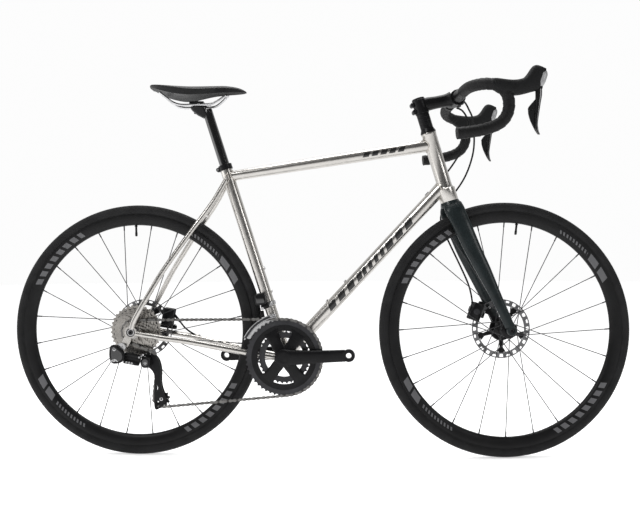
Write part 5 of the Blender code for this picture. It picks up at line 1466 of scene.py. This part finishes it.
def build_controls():
    for name, side in (("left", 1), ("right", -1)):
        y = side * HOOD_Y
        hood = Shape().use("rubber")
        rings = []
        for x, top, bottom, wide in smooth(HOOD_SECTIONS, 5):
            ridge = 0.00022 * sin(2 * pi * x / 0.0042) if 0.945 < x < 0.985 else 0.0
            middle = Vector((x, y, (top + bottom) / 2))
            rings.append(oval(middle, (0, 0, 1), (0, 1, 0), (top - bottom) / 2, wide + ridge, 32, 0.8))
        hood.skin(rings)
        # the cover over the front of the body
        hood.use("light_grey")
        slope, out = Vector((0.328, 0, 0.945)), Vector((0.945, 0, -0.328))
        face = Vector((1.0215, y, 0.9555))
        hood.skin([oval(face + out * depth, slope, (0, 1, 0), high, wide, 28, 0.75)
                   for depth, high, wide in smooth(((-0.005, 0.0222, 0.0142), (0.001, 0.0226, 0.0139),
                                                    (0.005, 0.02, 0.0128), (0.0078, 0.016, 0.011),
                                                    (0.009, 0.009, 0.007)), 3)])
        hood.use("plastic")
        hood.skin([oval((x, y, z), (1, 0, 0), LEFT, a, b, 20, 0.6)
                   for x, z, a, b in ((1.013, 0.947, 0.0105, 0.0086), (1.013, 0.938, 0.0098, 0.0086),
                                      (1.013, 0.931, 0.0088, 0.008))])
        piece(f"{name}_hood", hood, "steering", [f"{name}_lever_body"], True, sharp=45)

        lever = Shape().use("gloss_black")
        sections = (
            (1.013, 0.943, 0.0055, 0.0048), (1.013, 0.935, 0.0083, 0.0054), (1.013, 0.916, 0.0081, 0.0055),
            (1.011, 0.898, 0.0069, 0.0053), (1.009, 0.88, 0.0059, 0.0051), (1.0065, 0.86, 0.0051, 0.0051),
            (1.0055, 0.845, 0.0045, 0.0049), (1.0075, 0.83, 0.0041, 0.0045), (1.011, 0.8225, 0.0032, 0.0038),
            (1.0125, 0.82, 0.0022, 0.0028),
        )
        lever.skin([oval((x, y, z), (1, 0, 0), LEFT, a, b, 28, 0.86) for x, z, a, b in smooth(sections, 5)])
        piece(f"{name}_lever_blade", lever, f"{name}_brake_lever", [f"{name}_brake_lever"], True)
        for part, outline in (
            ("upper", [(1.0046, 0.906), (1.0036, 0.895), (1.0028, 0.879), (0.9866, 0.879), (0.9862, 0.8826),
                       (0.988, 0.8866), (0.9925, 0.8925), (0.9985, 0.899)]),
            ("lower", [(1.0027, 0.8786), (1.001, 0.862), (1.0004, 0.848), (1.0026, 0.834), (1.0044, 0.828),
                       (1.0015, 0.833), (0.996, 0.844), (0.9916, 0.854), (0.9888, 0.863), (0.987, 0.871),
                       (0.9866, 0.8786)]),
        ):
            paddle = Shape().use("plastic")
            paddle.slab(outline, y - 0.0024, y + 0.0024, bevel=0.0006)
            piece(f"{name}_{part}_paddle", paddle, f"{name}_{part}_paddle", [f"{name}_{part}_shift_paddle"], True)


# ---------------------------------------------------------------- brakes and hoses


def build_calipers():
    rear = Shape().use("black")
    for low, high in ((0.0378, 0.0522), (0.0568, 0.0712)):
        rounded_box(rear, (0.069, (low + high) / 2, 0.37), (0.032, high - low, 0.048), radians(10), 0.85)
    rounded_box(rear, (0.056, REAR_ROTOR_Y, 0.386), (0.0075, 0.02, 0.015), radians(10), 0.5)
    rounded_box(rear, (0.066, 0.0645, 0.3425), (0.0478, 0.0148, 0.0108), radians(9), 0.4)
    rear.use("grey")
    rear.lathe([(0.001, 0.0715), (0.008, 0.0715), (0.0088, 0.0706), (0.0088, 0.069), (0.001, 0.069)],
               Vector((0.069, 0, 0.37)), steps=32)
    bolt(rear, (0.05, 0.064, 0.35), (0, 0, 1), 0.0038, 0.004, "silver")
    bolt(rear, (0.085, 0.064, 0.3445), (0, 0, 1), 0.0036, 0.003, "silver")
    rear.use("black").rod((0.086, 0.056, 0.374), (0.101, 0.056, 0.356), 0.0036, 16)
    piece("rear_caliper_halves", rear, "frame", ["rear_caliper"])

    front = Shape().use("black")
    turn = radians(20)
    for low, high in ((0.023, 0.0374), (0.0416, 0.0556)):
        rounded_box(front, (0.9185, (low + high) / 2, 0.385), (0.032, high - low, 0.048), turn, 0.85)
    rounded_box(front, (0.904, FRONT_ROTOR_Y, 0.393), (0.006, 0.02, 0.015), turn, 0.5)
    rounded_box(front, (0.937, 0.0492, 0.39), (0.026, 0.011, 0.042), turn, 0.5)
    front.use("grey")
    front.lathe([(0.001, 0.023), (0.008, 0.023), (0.0088, 0.0239), (0.0088, 0.026), (0.001, 0.026)],
                Vector((0.9185, 0, 0.385)), steps=32)
    front.use("black").rod((0.911, 0.043, 0.412), (0.913, 0.042, 0.402), 0.0036, 16)
    piece("front_caliper_halves", front, "steering", ["front_caliper"], True)


HOSE_RADIUS = 0.0024
FRONT_HOSE = (
    (0.87, -0.045, 0.939), (0.879, -0.038, 0.932), (0.89, -0.026, 0.919), (0.901, -0.015, 0.902),
    (0.908, -0.002, 0.872), (0.912, 0.01, 0.842), (0.911, 0.02, 0.812), (0.903, 0.029, 0.778),
    (0.889, 0.034, 0.745), (0.869, 0.038, 0.714), (0.85, 0.044, 0.69), (0.834, 0.048, 0.664),
    (0.828, 0.0505, 0.636), (0.836, 0.051, 0.606), (0.856, 0.0515, 0.562), (0.882, 0.053, 0.508),
    (0.902, 0.052, 0.462), (0.909, 0.047, 0.432), (0.911, 0.043, 0.412),
)
REAR_HOSE = (
    (0.868, 0.064, 0.94), (0.884, 0.062, 0.931), (0.897, 0.059, 0.908), (0.901, 0.056, 0.88), (0.893, 0.052, 0.85),
    (0.879, 0.047, 0.82), (0.86, 0.042, 0.79), (0.842, 0.038, 0.765), (0.824, 0.034, 0.744),
    (0.804, 0.028, 0.722), (0.785, 0.02, 0.7), (0.765, 0.011, 0.674),
)
REAR_HOSE_END = (
    (0.235, 0.044, 0.294), (0.185, 0.053, 0.305), (0.16, 0.0565, 0.312), (0.135, 0.058, 0.3235),
    (0.115, 0.0575, 0.338), (0.101, 0.056, 0.356),
)


def build_hoses():
    front = Shape().use("rubber")
    front.tube(smooth(FRONT_HOSE, 6), HOSE_RADIUS, 14)
    piece("front_hose", front, "steering", ["front_brake_hose"], True)
    rear = Shape().use("rubber")
    rear.tube(smooth(REAR_HOSE, 8), HOSE_RADIUS, 14)
    hose = piece("rear_hose_loop", rear, None, ["rear_brake_hose"])
    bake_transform(hose)
    tail = Shape().use("rubber")
    tail.tube(smooth(REAR_HOSE_END, 6), HOSE_RADIUS, 14)
    piece("rear_hose_tail", tail, "frame")
    ports = Shape().use("plastic")
    ports.tube([(0.789, 0.0215, 0.705), (0.782, 0.0182, 0.696)], [0.0048, 0.0056], 20)
    ports.tube([(0.152, 0.057, 0.316), (0.166, 0.056, 0.3105)], [0.0042, 0.005], 20)
    piece("hose_ports", ports, "frame")


# ---------------------------------------------------------------- studio


def build_studio():
    scene = bpy.context.scene
    floor_mesh = bpy.data.meshes.new("studio_floor")
    centre, reach, sides = Vector((0.49, 0, -0.0003)), 14.0, 96
    turns = [2 * pi * i / sides for i in range(sides)]
    rim = [centre + Vector((cos(a), sin(a), 0)) * reach for a in turns]
    floor_mesh.from_pydata([centre] + rim, [], [(0, i + 1, (i + 1) % sides + 1) for i in range(sides)])
    floor = bpy.data.objects.new("studio_floor", floor_mesh)
    scene.collection.objects.link(floor)
    # the paper glows a little more far from the lamps, so that it meets the room without a line
    paper = new_material("white_paper")
    away = paper.add("VectorMath", {0: paper.add("TexCoord").outputs["Object"]}, operation="LENGTH").outputs["Value"]
    paper.shade(Base_Color=(0.95, 0.95, 0.955), Roughness=0.9, Emission_Color=(1.0, 1.0, 1.0),
                Emission_Strength=paper.spread(away, 0.47, 0.66, 1.5, 6.0))
    floor_mesh.materials.append(paper.owner)

    # the room is white to the eye; as light, it is bright behind the object and dim on the near side
    room = Nodes(bpy.data.worlds.new("studio_light"), "Background")
    light = room.spread(room.split("Generated")[1], 0.12, 0.9, -0.15, 0.55, interpolation_type="SMOOTHSTEP")
    seen = room.add("LightPath").outputs["Is Camera Ray"]
    strength = room.add("Mix", {"Factor": seen, "A": light, "B": 0.98}).outputs["Result"]
    room.shade(Color=(1.0, 1.0, 1.0), Strength=strength)
    scene.world = room.owner
    for name, place, size, power, target in (
        ("key_light", (-1.3, -2.0, 3.0), 1.0, 46, (0.5, 0, 0.4)),
        ("fill_light", (2.9, -1.7, 1.6), 0.8, 12, (0.6, 0, 0.4)),
        ("side_light", (-2.6, -0.5, 1.0), 2.2, 24, (0.3, 0, 0.6)),
        ("top_light", (0.5, 0.4, 3.2), 1.8, 58, (0.5, 0, 0.3)),
    ):
        lamp = bpy.data.lights.new(name, "AREA")
        lamp.size = size
        lamp.energy = power
        obj = bpy.data.objects.new(name, lamp)
        scene.collection.objects.link(obj)
        obj.location = place
        obj.rotation_mode = "QUATERNION"
        obj.rotation_quaternion = (Vector(target) - Vector(place)).to_track_quat("-Z", "Y")

    camera = bpy.data.cameras.new("camera")
    camera.lens = 44.83
    camera.sensor_width = 36.0
    camera.shift_y = 0.0195
    camera.clip_end = 50.0
    view = bpy.data.objects.new("camera", camera)
    scene.collection.objects.link(view)
    yaw, pitch, roll = radians(3.03), radians(-0.81), radians(0.31)
    upright = Matrix.Rotation(pi / 2, 4, "X")
    view.matrix_world = (
        Matrix.Translation((0.6083, -2.1393, 0.5402)) @ Matrix.Rotation(yaw, 4, "Z") @ Matrix.Rotation(pitch, 4, "X")
        @ Matrix.Rotation(roll, 4, "Y") @ upright
    )
    scene.camera = view
    scene.view_settings.view_transform = "Standard"


def dress_cad_nodes():
    """Any CAD node still shown gets a material with grain."""
    for node in frame["nodes"].values():
        if not node.hide_render:
            node.data.materials.clear()
            node.data.materials.append(MATERIALS["black"])


build_frame()
build_seat()
build_wheels()
PINS = chain_pins()
build_chain(PINS)
build_cassette(PINS)
build_crankset(PINS)
build_rear_derailleur(PINS)
build_front_derailleur()
build_fork()
build_bar()
build_controls()
build_calipers()
build_hoses()
dress_cad_nodes()
build_studio()
